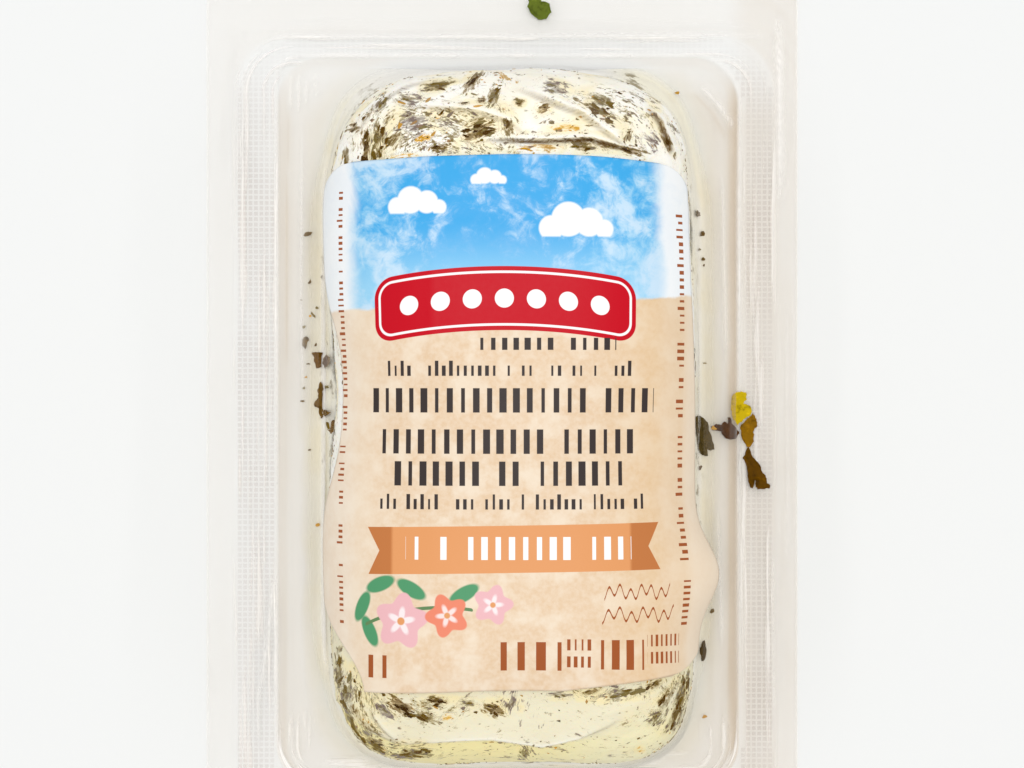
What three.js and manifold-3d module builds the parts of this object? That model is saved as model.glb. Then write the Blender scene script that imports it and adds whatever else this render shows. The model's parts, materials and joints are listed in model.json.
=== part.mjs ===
// A vacuum pack of herb-coated soft goat cheese, lying flat with its label up.
// Four sheets and bodies, in millimetres, +Z up, +Y towards the top of the label:
//   back_film     the flat web underneath, with herb flakes that drifted into the moat
//   cheese_block  the soft block, with its coat of herb flakes
//   formed_film   the clear web drawn down over the block and sealed round it
//   paper_label   the sheet stuck over the top of the film
// The origin is on the table, under the middle of the pack.
import * as THREE from "three";
import { mergeVertices } from "three/addons/utils/BufferGeometryUtils.js";
import Module from "manifold-3d";

const wasm = await Module();
wasm.setup();

// Driving dimensions

const FIT = 0.3; // air between two layers that touch on the real pack
const PACK = { x: 0, y: 0, width: 82.6, length: 124.6, corner: 6 };
const BACK = { thick: 0.4 };
const FILM = { thick: 0.3, seat: BACK.thick + FIT };
const BLOCK = {
  x: 1.3, // middle of the block in the pack
  y: -1.55,
  halfWidth: 24.3,
  halfLength: 47.5,
  base: BACK.thick + FIT,
  waist: 11, // height of the widest outline
  top: 28,
  endPower: 4.4, // how square the ends are in plan
  shoulderPower: 2.6, // how square the shoulders are in section
  foot: 0.86, // share of the half width that the flat underside keeps
};
// How uneven the soft block is. Lumps, skew and waver are the heights of long waves.
const UNEVEN = {
  top: [4, 20], // heights over which the top's share comes in
  outline: [2.6, 9], // heights over which the outline's share comes in
  lump: 0.4,
  smallLump: 0.2,
  sag: 0.9, // drop of the top at the lower end, and half of it at the upper end
  sagOver: [30, 48],
  pinch: { depth: 1.3, y: 0.7, span: 6.5, over: [-12, -24] },
  skew: 0.55,
  skewOver: [24, 44],
  lean: 0.02,
  waver: 0.35,
  waverOver: [8, 22],
};
// Corners are named by their side of the pack, seen from above.
const CAVITY = {
  x: 0.8,
  y: -2.6,
  width: 64.4,
  length: 102.6,
  corner: { topRight: 6.3, topLeft: 3.6, bottomLeft: 8.4, bottomRight: 8.4 },
};
const SEAL = { x: 0.4, y: -3.15, width: 75.6, length: 109.7, corner: 8 };
const MOAT = { outer: 2.15, inner: 1.9, ridge: 2.5, ridgeWidth: 1.1 };
const WALL = { foot: 2.9, lower: 1.75, lowerHeight: 4.6 }; // spread of the skirt
const FILM_AIR = 0.8; // block to film, which leaves room for the flakes
const LABEL = {
  thick: 0.25,
  air: 0.42, // film to label
  top: 33.0,
  bottom: -37.7,
  left: -23.7,
  right: 25.4,
  corner: 4,
  tuck: { depth: 1.6, y: 0.7, span: 6 }, // where the left edge follows the pinch
  foldedCorner: 5.2, // how much of the lower left corner is folded away
  foldedFrom: -26,
  arch: { slope: -0.035, beyond: 12, over: [10, 33] }, // the upper edge drops sideways
  lift: { slope: 0.16, beyond: 8, over: [-30, -37.7] }, // the lower edge rises rightwards
};
// Film and label stand out together over the right edge, at the lower right.
const EAR = { reach: 3.4, y: -21, span: 5, over: [14, 24], z: 17, height: 9 };
const LEAF = { thick: 0.8, proud: 0.32, rim: 7 };
const COAT = {
  onEachEnd: 15,
  onEachSide: 7,
  fromCorner: 0.15, // angle left bare where an end meets a side
  topShare: 0.4, // how far up the dome the flakes start, at the upper end
  lowShare: 0.55, // and at the lower end
  sideShare: 0.93,
  lastShare: 0.97,
  shortest: 2.0,
  longest: 4.8,
  slender: [0.45, 0.8], // width as a share of length
};
const GRID = { quarter: 14, side: 8, over: 10, across: 18, along: 26 };

// Numbers and curves

const clamp = (v, low, high) => Math.min(high, Math.max(low, v));
const mix = (a, b, t) => a + (b - a) * t;
const smooth = (low, high, v) => {
  const t = clamp((v - low) / (high - low), 0, 1);
  return t * t * (3 - 2 * t);
};
const bell = (v, middle, span) => Math.exp(-(((v - middle) / span) ** 2));

// A seeded draw between 0 and 1.
function dice(seed) {
  let s = seed >>> 0;
  return () => {
    s = (s + 0x6d2b79f5) >>> 0;
    let t = Math.imul(s ^ (s >>> 15), s | 1);
    t ^= t + Math.imul(t ^ (t >>> 7), t | 61);
    return ((t ^ (t >>> 14)) >>> 0) / 4294967296;
  };
}

// The block's form

// The block is laid out round a spine: a straight line along its middle, as far
// from each end as from each side. Spokes run from the spine to the outline.
const SPINE = BLOCK.halfLength - BLOCK.halfWidth;

function endReach(angle, halfWidth) {
  const c = Math.abs(Math.cos(angle));
  const s = Math.abs(Math.sin(angle));
  const p = BLOCK.endPower;
  return halfWidth / (c ** p + s ** p) ** (1 / p);
}

// Every spoke has the spine point it starts at and its direction, counterclockwise.
function spokes() {
  const list = [];
  // Half a turn in two quarters, with the spokes closest at the two corners.
  const fan = (yEnd, from) => {
    for (let i = 0; i <= 2 * GRID.quarter; i++) {
      const quarter = i < GRID.quarter ? 0 : 1;
      const t = (2 * (i - quarter * GRID.quarter)) / GRID.quarter - 1;
      const turn = quarter + 0.5 + 0.5 * Math.sign(t) * Math.abs(t) ** 1.35;
      list.push({ y: yEnd, angle: from + (Math.PI / 2) * turn });
    }
  };
  const side = (from, to, angle) => {
    for (let i = 1; i < GRID.side; i++) {
      list.push({ y: mix(from, to, i / GRID.side), angle });
    }
  };
  fan(SPINE, 0);
  side(SPINE, -SPINE, Math.PI);
  fan(-SPINE, Math.PI);
  side(-SPINE, SPINE, 2 * Math.PI);
  return list;
}
const SPOKES = spokes();

// A point on a spoke, at a share of the way from the spine to the outline.
function blockPoint(spoke, share, grow, z) {
  const reach = endReach(spoke.angle, BLOCK.halfWidth + grow) * share;
  return new THREE.Vector3(
    BLOCK.x + Math.cos(spoke.angle) * reach,
    BLOCK.y + spoke.y + Math.sin(spoke.angle) * reach,
    z,
  );
}

// 0 on the spine and 1 on the outline, for any place in plan.
function planShare(x, y, grow) {
  const p = BLOCK.endPower;
  const u = Math.abs(x - BLOCK.x);
  const v = Math.max(Math.abs(y - BLOCK.y) - SPINE, 0);
  return (u ** p + v ** p) ** (1 / p) / (BLOCK.halfWidth + grow);
}

function domeHeight(share, grow) {
  const q = BLOCK.shoulderPower;
  const rise = BLOCK.top - BLOCK.waist + grow;
  return BLOCK.waist + rise * (1 - Math.min(share, 1) ** q) ** (1 / q);
}

// The soft block is uneven: its top is lumpy, its ends are askew and its left side
// is pinched. Every layer over it takes the same unevenness, so none meets another.
function settle(p) {
  const x = p.x - BLOCK.x;
  const y = p.y - BLOCK.y;
  const top = smooth(...UNEVEN.top, p.z);
  const outline = smooth(...UNEVEN.outline, p.z);
  const lumps =
    UNEVEN.lump * Math.sin(0.16 * x + 1.3) * Math.cos(0.13 * y + 0.4) +
    UNEVEN.smallLump * Math.sin(0.09 * x - 0.21 * y + 2.1);
  const sag = -UNEVEN.sag * smooth(...UNEVEN.sagOver, Math.abs(y)) * (y > 0 ? 0.5 : 1);
  const { depth, y: pinchY, span, over } = UNEVEN.pinch;
  const pinch = depth * bell(p.y, pinchY, span) * smooth(...over, x);
  const atEnd = smooth(...UNEVEN.skewOver, Math.abs(y));
  const skew = atEnd * (UNEVEN.skew * Math.sin(0.13 * x + 1.1) - UNEVEN.lean * x);
  const atSide = smooth(...UNEVEN.waverOver, Math.abs(x));
  const waver = UNEVEN.waver * Math.sin(0.14 * y + 0.8) * atSide;
  return new THREE.Vector3(
    p.x + outline * (pinch + waver),
    p.y + outline * skew,
    p.z + top * (lumps + sag),
  );
}

function ear(p) {
  const outward = bell(p.y, EAR.y, EAR.span) * smooth(...EAR.over, p.x - BLOCK.x);
  const out = EAR.reach * outward * bell(p.z, EAR.z, EAR.height);
  return new THREE.Vector3(p.x + out, p.y, p.z);
}

// Surfaces and solids

// Joins rings of equal length into a surface. Points that fall together are merged
// and the empty triangles between them dropped.
function ringSurface(rings, closedRound) {
  const n = rings[0].length;
  const flat = rings.flat().flatMap((p) => [p.x, p.y, p.z]);
  const index = [];
  const columns = closedRound ? n : n - 1;
  for (let r = 0; r + 1 < rings.length; r++) {
    for (let i = 0; i < columns; i++) {
      const j = (i + 1) % n;
      const a = r * n + i;
      const b = r * n + j;
      const c = (r + 1) * n + i;
      const d = (r + 1) * n + j;
      index.push(a, b, d, a, d, c);
    }
  }
  const geometry = new THREE.BufferGeometry();
  geometry.setAttribute("position", new THREE.Float32BufferAttribute(flat, 3));
  geometry.setIndex(index);
  return dropEmpty(mergeVertices(geometry, 1e-3));
}

function dropEmpty(geometry) {
  const old = geometry.index.array;
  const kept = [];
  for (let t = 0; t < old.length; t += 3) {
    const [a, b, c] = [old[t], old[t + 1], old[t + 2]];
    if (a !== b && b !== c && c !== a) kept.push(a, b, c);
  }
  geometry.setIndex(kept);
  return geometry;
}

// Gives an open surface a thickness on its inner side, and closes its rim.
function shell(surface, thick) {
  surface.computeVertexNormals();
  const at = surface.attributes.position;
  const normal = surface.attributes.normal;
  const count = at.count;
  const points = [];
  for (const depth of [0, thick]) {
    for (let i = 0; i < count; i++) {
      points.push(
        at.getX(i) - normal.getX(i) * depth,
        at.getY(i) - normal.getY(i) * depth,
        at.getZ(i) - normal.getZ(i) * depth,
      );
    }
  }
  const old = Array.from(surface.index.array);
  const index = [...old];
  const edges = new Set();
  for (let t = 0; t < old.length; t += 3) {
    const [a, b, c] = [old[t], old[t + 1], old[t + 2]];
    index.push(a + count, c + count, b + count);
    for (const [from, to] of [[a, b], [b, c], [c, a]]) edges.add(from + "," + to);
  }
  for (const edge of edges) {
    const [from, to] = edge.split(",").map(Number);
    if (edges.has(to + "," + from)) continue;
    index.push(from, from + count, to + count, from, to + count, to);
  }
  const geometry = new THREE.BufferGeometry();
  geometry.setAttribute("position", new THREE.Float32BufferAttribute(points, 3));
  geometry.setIndex(index);
  return geometry;
}

function toManifold(geometry) {
  const bare = geometry.clone();
  bare.deleteAttribute("normal");
  bare.deleteAttribute("uv");
  const merged = mergeVertices(bare, 1e-3);
  return new wasm.Manifold(
    new wasm.Mesh({
      numProp: 3,
      vertProperties: merged.attributes.position.array,
      triVerts: new Uint32Array(merged.index.array),
    }),
  );
}

// Fuses small solids to the one they lie on.
function fuse(geometry, additions) {
  let body = toManifold(geometry);
  for (const extra of additions) body = body.add(toManifold(extra));
  const mesh = body.getMesh();
  const fused = new THREE.BufferGeometry();
  fused.setAttribute(
    "position",
    new THREE.Float32BufferAttribute(Array.from(mesh.vertProperties), 3),
  );
  fused.setIndex(Array.from(mesh.triVerts));
  return fused;
}

// One herb flake: a thin wavy leaf with a torn rim, lying on a surface. Its two
// faces are the same fan of triangles.
function leaf({ at, normal, heading, length, width, thick, proud, random }) {
  const up = normal.clone().normalize();
  const along = heading.clone().addScaledVector(up, -heading.dot(up)).normalize();
  const across = new THREE.Vector3().crossVectors(up, along);
  const rim = [];
  const start = random() * Math.PI;
  for (let i = 0; i < LEAF.rim; i++) {
    const angle = start + (2 * Math.PI * i) / LEAF.rim;
    const torn = 0.72 + 0.5 * random();
    rim.push([
      0.5 * length * torn * Math.cos(angle),
      0.5 * width * torn * Math.sin(angle),
      -0.12 * thick * random(),
    ]);
  }
  const points = [];
  for (const drop of [0, thick]) {
    for (const [u, v, w] of [[0, 0, 0], ...rim]) {
      const p = at
        .clone()
        .addScaledVector(along, u)
        .addScaledVector(across, v)
        .addScaledVector(up, proud + w - drop);
      points.push(p.x, p.y, p.z);
    }
  }
  const index = [];
  const low = LEAF.rim + 1;
  for (let i = 0; i < LEAF.rim; i++) {
    const a = 1 + i;
    const b = 1 + ((i + 1) % LEAF.rim);
    index.push(0, a, b, low, low + b, low + a);
    index.push(a, low + a, low + b, a, low + b, b);
  }
  const geometry = new THREE.BufferGeometry();
  geometry.setAttribute("position", new THREE.Float32BufferAttribute(points, 3));
  geometry.setIndex(index);
  return geometry;
}

// Cheese block

function cheeseRings() {
  const rings = [];
  const ring = (share, z) =>
    rings.push(SPOKES.map((s) => settle(blockPoint(s, share, 0, z))));
  ring(0, BLOCK.base);
  const lowSteps = 4;
  for (let i = 0; i <= lowSteps; i++) {
    const turn = (Math.PI / 2) * (i / lowSteps);
    const share = mix(BLOCK.foot, 1, Math.sin(turn) ** 0.8);
    const z = mix(BLOCK.waist, BLOCK.base, Math.cos(turn) ** 0.8);
    ring(share, z);
  }
  for (let i = 1; i <= GRID.over; i++) {
    const turn = (Math.PI / 2) * (i / GRID.over);
    const share = Math.cos(turn) ** (2 / 2.4);
    ring(share, domeHeight(share, 0));
  }
  return rings;
}

// Flakes cover the block thickly, so the solid carries the largest ones: most of
// them on the two ends that show past the label, the rest round the sides.
function coatFlakes() {
  const random = dice(7);
  const flakes = [];
  const scatter = (count, angleFrom, angleTo, ySpine, shareFrom) => {
    for (let i = 0; i < count; i++) {
      const angle = mix(angleFrom, angleTo, (i + random()) / count);
      const share = mix(shareFrom, COAT.lastShare, random());
      const y = ySpine === null ? mix(-SPINE, SPINE, random()) : ySpine;
      const at = (a, s) => {
        const p = blockPoint({ y, angle: a }, s, 0, domeHeight(s, 0));
        return settle(p);
      };
      const middle = at(angle, share);
      const outward = at(angle, share + 0.02).sub(middle);
      const round =
        ySpine === null
          ? new THREE.Vector3(0, Math.cos(angle) > 0 ? 1 : -1, 0)
          : at(angle + 0.05, share).sub(middle);
      const length = mix(COAT.shortest, COAT.longest, random() ** 1.6);
      flakes.push(
        leaf({
          at: middle,
          normal: new THREE.Vector3().crossVectors(outward, round),
          heading: outward.multiplyScalar(random() - 0.5).addScaledVector(round, 0.3),
          length,
          width: length * mix(...COAT.slender, random()),
          thick: LEAF.thick,
          proud: LEAF.proud,
          random,
        }),
      );
    }
  };
  const [start, half] = [COAT.fromCorner, Math.PI];
  scatter(COAT.onEachEnd, start, half - start, SPINE, COAT.topShare);
  scatter(COAT.onEachEnd, half + start, 2 * half - start, -SPINE, COAT.lowShare);
  scatter(COAT.onEachSide, 0, 0, null, COAT.sideShare);
  scatter(COAT.onEachSide, half, half, null, COAT.sideShare);
  return flakes;
}

function cheeseBlock() {
  return fuse(ringSurface(cheeseRings(), true), coatFlakes());
}

// Formed film

function cornerAt(rect, x, y) {
  if (typeof rect.corner === "number") return rect.corner;
  if (y > 0) return x > 0 ? rect.corner.topRight : rect.corner.topLeft;
  return x > 0 ? rect.corner.bottomRight : rect.corner.bottomLeft;
}

// Where a spoke leaves a rectangle with round corners, as seen from the spine.
function rectReach(spoke, rect) {
  const inside = (d) => {
    const x = BLOCK.x + Math.cos(spoke.angle) * d - rect.x;
    const y = BLOCK.y + spoke.y + Math.sin(spoke.angle) * d - rect.y;
    const r = cornerAt(rect, x, y);
    const u = Math.max(Math.abs(x) - rect.width / 2 + r, 0);
    const v = Math.max(Math.abs(y) - rect.length / 2 + r, 0);
    return Math.hypot(u, v) < r;
  };
  let [low, high] = [0, 100];
  for (let i = 0; i < 30; i++) {
    const middle = (low + high) / 2;
    if (inside(middle)) low = middle;
    else high = middle;
  }
  return low;
}

const outlinePoint = (spoke, distance, z) =>
  new THREE.Vector3(
    BLOCK.x + Math.cos(spoke.angle) * distance,
    BLOCK.y + spoke.y + Math.sin(spoke.angle) * distance,
    z,
  );

// Broad folds in the film where it has more length than the block's ends need.
// Each is a straight crease from one place to another, with a half width and a rise.
const CREASES = [
  { from: [-13, 39], to: [3, 35.5], span: 2.4, rise: 0.8 },
  { from: [2, 42], to: [17, 34.5], span: 2.0, rise: 1.2 },
  { from: [17, 40], to: [24, 34], span: 1.8, rise: 1.0 },
  { from: [-20, -42.5], to: [2, -44.5], span: 2.2, rise: 1.5 },
  { from: [2, -44.5], to: [21, -39.5], span: 2.2, rise: 1.5 },
];

function creaseRise(x, y) {
  const past = smooth(0.6, 3.6, Math.max(y - LABEL.top, LABEL.bottom - y));
  let rise = 0;
  for (const { from, to, span, rise: height } of CREASES) {
    const [dx, dy] = [to[0] - from[0], to[1] - from[1]];
    const along = (x - from[0]) * dx + (y - from[1]) * dy;
    const t = clamp(along / (dx * dx + dy * dy), 0, 1);
    const away = Math.hypot(x - from[0] - t * dx, y - from[1] - t * dy);
    rise = Math.max(rise, height * bell(away, 0, span));
  }
  return rise * past;
}

function filmRings() {
  const grow = FILM_AIR + FILM.thick;
  const flat = FILM.seat + FILM.thick;
  const ridge = {
    ...CAVITY,
    width: CAVITY.width - 2 * MOAT.ridgeWidth,
    length: CAVITY.length - 2 * MOAT.ridgeWidth,
  };
  const ringOf = (rect, z) =>
    SPOKES.map((s) => outlinePoint(s, rectReach(s, rect), z));
  const rimOf = (away, z) =>
    SPOKES.map((s) =>
      settle(outlinePoint(s, endReach(s.angle, BLOCK.halfWidth + away), z)),
    );
  const rings = [
    ringOf(PACK, flat),
    ringOf(SEAL, flat),
    ringOf(CAVITY, flat),
    ringOf(ridge, MOAT.ridge),
  ];
  const middle = SPOKES.map((s) => {
    const outer = rectReach(s, ridge);
    const inner = endReach(s.angle, BLOCK.halfWidth + WALL.foot);
    return outlinePoint(s, mix(outer, inner, 0.4), MOAT.outer);
  });
  rings.push(middle, rimOf(WALL.foot, MOAT.inner));
  rings.push(rimOf(WALL.lower, WALL.lowerHeight));
  rings.push(rimOf(grow, BLOCK.waist).map(ear));
  for (let i = 1; i <= GRID.over; i++) {
    const turn = (Math.PI / 2) * (i / GRID.over);
    const share = Math.cos(turn) ** (2 / 2.4);
    const ring = SPOKES.map((s) => {
      const p = blockPoint(s, share, grow, domeHeight(share, grow));
      const lifted = settle(p);
      lifted.z += creaseRise(p.x, p.y) * smooth(0, 0.15, share);
      return ear(lifted);
    });
    rings.push(ring);
  }
  return rings;
}

function formedFilm() {
  return shell(ringSurface(filmRings(), true), FILM.thick);
}

// Paper label

// The label's plan: left and right edges for each height on the sheet, with round
// corners, a tucked left side and the lower left corner folded away.
function labelEdges(y) {
  const r = LABEL.corner;
  const fromEnd = Math.min(LABEL.top - y, y - LABEL.bottom);
  const round = fromEnd < r ? r - Math.sqrt(Math.max(r * r - (r - fromEnd) ** 2, 0)) : 0;
  const tuck = LABEL.tuck.depth * bell(y, LABEL.tuck.y, LABEL.tuck.span);
  const folded = LABEL.foldedCorner * smooth(LABEL.foldedFrom, LABEL.bottom, y);
  const left = LABEL.left + tuck + folded + round * (1 - smooth(-20, -30, y));
  return [left, LABEL.right - round];
}

// How far a place on the sheet moves up or down, the more the further out it lies.
const slide = ({ slope, beyond, over }, out, y) =>
  slope * Math.max(out - beyond, 0) * smooth(...over, y);

function labelRings() {
  const grow = FILM_AIR + FILM.thick + LABEL.air + LABEL.thick;
  const rings = [];
  for (let j = 0; j <= GRID.along; j++) {
    const ease = 0.5 - 0.5 * Math.cos((Math.PI * j) / GRID.along);
    const yRow = mix(LABEL.bottom, LABEL.top, mix(j / GRID.along, ease, 0.35));
    const [left, right] = labelEdges(yRow);
    const ring = [];
    for (let i = 0; i <= GRID.across; i++) {
      const turn = Math.sin((Math.PI / 2) * (-1 + (2 * i) / GRID.across));
      const spread = mix(-1 + (2 * i) / GRID.across, turn, 0.75);
      const x = mix(left, right, 0.5 + 0.5 * spread);
      const fromMiddle = Math.abs(x - BLOCK.x);
      const arch = slide(LABEL.arch, fromMiddle, yRow);
      const lift = slide(LABEL.lift, x, yRow);
      const y = yRow + arch + lift;
      const z = domeHeight(planShare(x, y, grow), grow);
      ring.push(ear(settle(new THREE.Vector3(x, y, z))));
    }
    rings.push(ring);
  }
  return rings;
}

function paperLabel() {
  return shell(ringSurface(labelRings(), false), LABEL.thick);
}

// Back film

// Flakes that drifted into the moat, each with its middle, size and turn.
const DRIFTED = [
  { x: -27.6, y: 8.7, length: 1.7, width: 1.1, turn: 80 },
  { x: -27.0, y: 6.0, length: 2.3, width: 1.2, turn: 95 },
  { x: -27.2, y: 1.4, length: 4.4, width: 1.2, turn: 84 },
  { x: 29.6, y: -4.9, length: 4.6, width: 1.8, turn: 100 },
  { x: 30.9, y: 25.0, length: 1.3, width: 0.9, turn: 30 },
  { x: 29.9, y: -34.2, length: 2.4, width: 1.0, turn: 85 },
  { x: -28.6, y: 22.9, length: 1.0, width: 0.7, turn: 10 },
  { x: -28.2, y: 13.0, length: 0.9, width: 0.7, turn: 50 },
];

function flatLeaf({ x, y, length, width, turn }, top, thick, proud, random) {
  const angle = THREE.MathUtils.degToRad(turn);
  return leaf({
    at: new THREE.Vector3(x, y, top),
    normal: new THREE.Vector3(0, 0, 1),
    heading: new THREE.Vector3(Math.cos(angle), Math.sin(angle), 0),
    length,
    width,
    thick,
    proud,
    random,
  });
}

function backFilm() {
  const random = dice(21);
  const edge = SPOKES.map((s) => outlinePoint(s, rectReach(s, PACK), 0));
  const sheet = new THREE.ExtrudeGeometry(
    new THREE.Shape(edge.map((p) => new THREE.Vector2(p.x, p.y))),
    { depth: BACK.thick, bevelEnabled: false },
  );
  const flakes = DRIFTED.map((d) => flatLeaf(d, BACK.thick, 0.6, 0.45, random));
  return fuse(sheet, flakes);
}

// Larger leaves that lie on the seal at the right, pressed flat on the film.
const ON_SEAL = [
  { x: 33.9, y: -0.2, length: 4.2, width: 2.4, turn: 80 },
  { x: 34.4, y: -3.9, length: 4.0, width: 1.9, turn: 75 },
  { x: 35.7, y: -9.0, length: 6.0, width: 3.0, turn: 115 },
];

function filmWithLeaves() {
  const random = dice(33);
  const top = FILM.seat + FILM.thick;
  const leaves = ON_SEAL.map((d) => flatLeaf(d, top, 0.5, 0.35, random));
  return fuse(formedFilm(), leaves);
}

// Materials and the finished pack

const MATERIALS = {
  backFilm: { color: 0xe9e6df, roughness: 0.15, metalness: 0, opacity: 0.45 },
  formedFilm: { color: 0xf2efe6, roughness: 0.1, metalness: 0, opacity: 0.35 },
  cheese: { color: 0xefe8d0, roughness: 0.65, metalness: 0, opacity: 1 },
  paper: { color: 0xf2e1cb, roughness: 0.55, metalness: 0, opacity: 1 },
};

function node(name, geometry, finish) {
  const material = new THREE.MeshStandardMaterial({
    ...finish,
    transparent: finish.opacity < 1,
    flatShading: true,
  });
  const mesh = new THREE.Mesh(geometry, material);
  mesh.name = name;
  return mesh;
}

const pack = new THREE.Group();
pack.name = "cheese_pack";
pack.add(
  node("back_film", backFilm(), MATERIALS.backFilm),
  node("cheese_block", cheeseBlock(), MATERIALS.cheese),
  node("formed_film", filmWithLeaves(), MATERIALS.formedFilm),
  node("paper_label", paperLabel(), MATERIALS.paper),
);

export default pack;
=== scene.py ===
# %% [markdown]
# # Soft cheese in a vacuum pack
# The real thing is a block of soft white cheese rolled in herbs. A clear film is drawn down over
# it and sealed to a second, flat film underneath, and a printed paper label is stuck on top.
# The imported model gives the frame: four nodes, one for each layer. This lesson replaces each of
# them by a finer piece in the same place.

# %% The frame and its measures
import json
import math
import bmesh
import bpy
import numpy as np
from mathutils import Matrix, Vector, noise
from mathutils.bvhtree import BVHTree

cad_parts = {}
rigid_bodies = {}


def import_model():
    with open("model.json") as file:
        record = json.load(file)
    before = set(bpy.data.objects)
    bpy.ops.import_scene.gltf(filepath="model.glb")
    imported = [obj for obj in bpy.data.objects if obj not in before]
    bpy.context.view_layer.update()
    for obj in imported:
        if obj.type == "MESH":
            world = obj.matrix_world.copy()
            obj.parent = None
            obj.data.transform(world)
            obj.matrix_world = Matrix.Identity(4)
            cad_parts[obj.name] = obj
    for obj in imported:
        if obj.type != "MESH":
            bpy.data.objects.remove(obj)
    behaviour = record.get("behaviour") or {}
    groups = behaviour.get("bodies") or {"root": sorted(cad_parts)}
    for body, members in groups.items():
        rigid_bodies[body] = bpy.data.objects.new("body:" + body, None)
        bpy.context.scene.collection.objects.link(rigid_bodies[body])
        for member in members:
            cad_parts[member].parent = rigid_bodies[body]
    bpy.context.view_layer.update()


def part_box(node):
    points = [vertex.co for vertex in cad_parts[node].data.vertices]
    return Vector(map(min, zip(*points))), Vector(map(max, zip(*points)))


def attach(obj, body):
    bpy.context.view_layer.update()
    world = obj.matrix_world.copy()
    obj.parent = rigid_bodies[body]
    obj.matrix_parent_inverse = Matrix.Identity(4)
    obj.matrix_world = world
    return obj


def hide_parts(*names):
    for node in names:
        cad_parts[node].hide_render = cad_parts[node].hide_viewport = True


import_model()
MM = 0.001


def box_mm(node):
    low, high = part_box(node)
    return np.array(low) / MM, np.array(high) / MM


back_low, back_high = box_mm("back_film")
label_low, label_high = box_mm("paper_label")
print("pack", (back_high - back_low).round(1), "label", (label_high - label_low).round(1))

# %% [markdown]
# ## The form that every layer shares
# Cheese, film and label follow one soft shape. In plan it is a straight spine with a squarish
# outline round it, and in section a squarish dome. Spokes leave the spine all round, so a mesh is
# a stack of rings, one point on each spoke. A gentle unevenness is added to every layer alike,
# which keeps the layers apart.

# %% Sizes of the pack, in millimetres
BLOCK = dict(x=1.3, y=-1.55, half_width=24.3, half_length=47.5, base=0.7, waist=11.0, top=28.0)
END_POWER = 4.4
SHOULDER_POWER = 2.6
UNDERSIDE = 0.86
SPINE = BLOCK["half_length"] - BLOCK["half_width"]
# Corner radii run anticlockwise from the top right one.
PACK = dict(x=0.0, y=0.0, width=back_high[0] * 2, length=back_high[1] * 2, corners=(6, 6, 6, 6))
SEAL = dict(x=0.4, y=-3.15, width=75.6, length=109.7, corners=(8, 8, 8, 8))
CAVITY = dict(x=0.8, y=-2.6, width=64.4, length=102.6, corners=(6.3, 3.6, 8.4, 8.4))
CHEESE_GROWS = 0.35
FILM_GROWS = 1.0
LABEL_GROWS = 1.45
EAR = dict(y=-22.4, span=5.4, film=0.9, label=3.3)


def smooth(low, high, v):
    t = np.clip((np.asarray(v, float) - low) / (high - low), 0, 1)
    return t * t * (3 - 2 * t)


def bell(v, middle, span):
    return np.exp(-(((v - middle) / span) ** 2))


def end_reach(angle, grow):
    """How far a spoke runs from the spine to the block's outline, grown by some millimetres."""
    c, s = abs(np.cos(angle)), abs(np.sin(angle))
    return (BLOCK["half_width"] + grow) / (c**END_POWER + s**END_POWER) ** (1 / END_POWER)


def plan_share(x, y, grow):
    """0 on the spine and 1 on the block's outline."""
    u = abs(x - BLOCK["x"])
    v = np.maximum(abs(y - BLOCK["y"]) - SPINE, 0)
    return (u**END_POWER + v**END_POWER) ** (1 / END_POWER) / (BLOCK["half_width"] + grow)


def out_from_block(x, y):
    """How far a place lies outside the block's outline, in millimetres."""
    return (plan_share(x, y, 0) - 1) * BLOCK["half_width"]


def dome_height(share, grow):
    rise = BLOCK["top"] - BLOCK["waist"] + grow
    inner = 1 - np.minimum(share, 1) ** SHOULDER_POWER
    return BLOCK["waist"] + rise * np.maximum(inner, 0) ** (1 / SHOULDER_POWER)


def settle(points):
    """The soft unevenness of the block, for an array of points."""
    x, y = points[..., 0] - BLOCK["x"], points[..., 1] - BLOCK["y"]
    z = points[..., 2]
    raised, low = smooth(4, 20, z), smooth(2.6, 9, z)
    lumps = 0.4 * np.sin(0.16 * x + 1.3) * np.cos(0.13 * y + 0.4)
    lumps += 0.2 * np.sin(0.09 * x - 0.21 * y + 2.1)
    sag = -0.9 * smooth(30, 48, abs(y)) * np.where(y > 0, 0.5, 1)
    pinch = 0.5 * bell(points[..., 1], 0.7, 9.0) * (1 - smooth(-24, -12, x))
    skew = smooth(24, 44, abs(y)) * (0.55 * np.sin(0.13 * x + 1.1) - 0.02 * x)
    waver = 0.35 * np.sin(0.14 * y + 0.8) * smooth(8, 22, abs(x))
    shorter = -1.1 * smooth(30, 47, y)
    narrower = -1.1 * np.sign(x) * smooth(26, 46, y) * smooth(6, 22, abs(x))
    shift_x, shift_y = low * (pinch + waver + narrower), low * (skew + shorter)
    shift = np.stack([shift_x, shift_y, raised * (lumps + sag)], axis=-1)
    return points + shift


def ear(points, reach):
    """The label stands out over the right edge, and the film a little way with it."""
    out = reach * bell(points[..., 1], EAR["y"], EAR["span"])
    out = out * smooth(14, 24, points[..., 0] - BLOCK["x"]) * bell(points[..., 2], 17, 9)
    moved = points.copy()
    moved[..., 0] += out
    return moved


# %% Spokes and rings
CORNER_CROWDING = 1.2
EDGE_CROWDING = 2 / 2.4
FAR = 100.0
HALVINGS = 30


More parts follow.
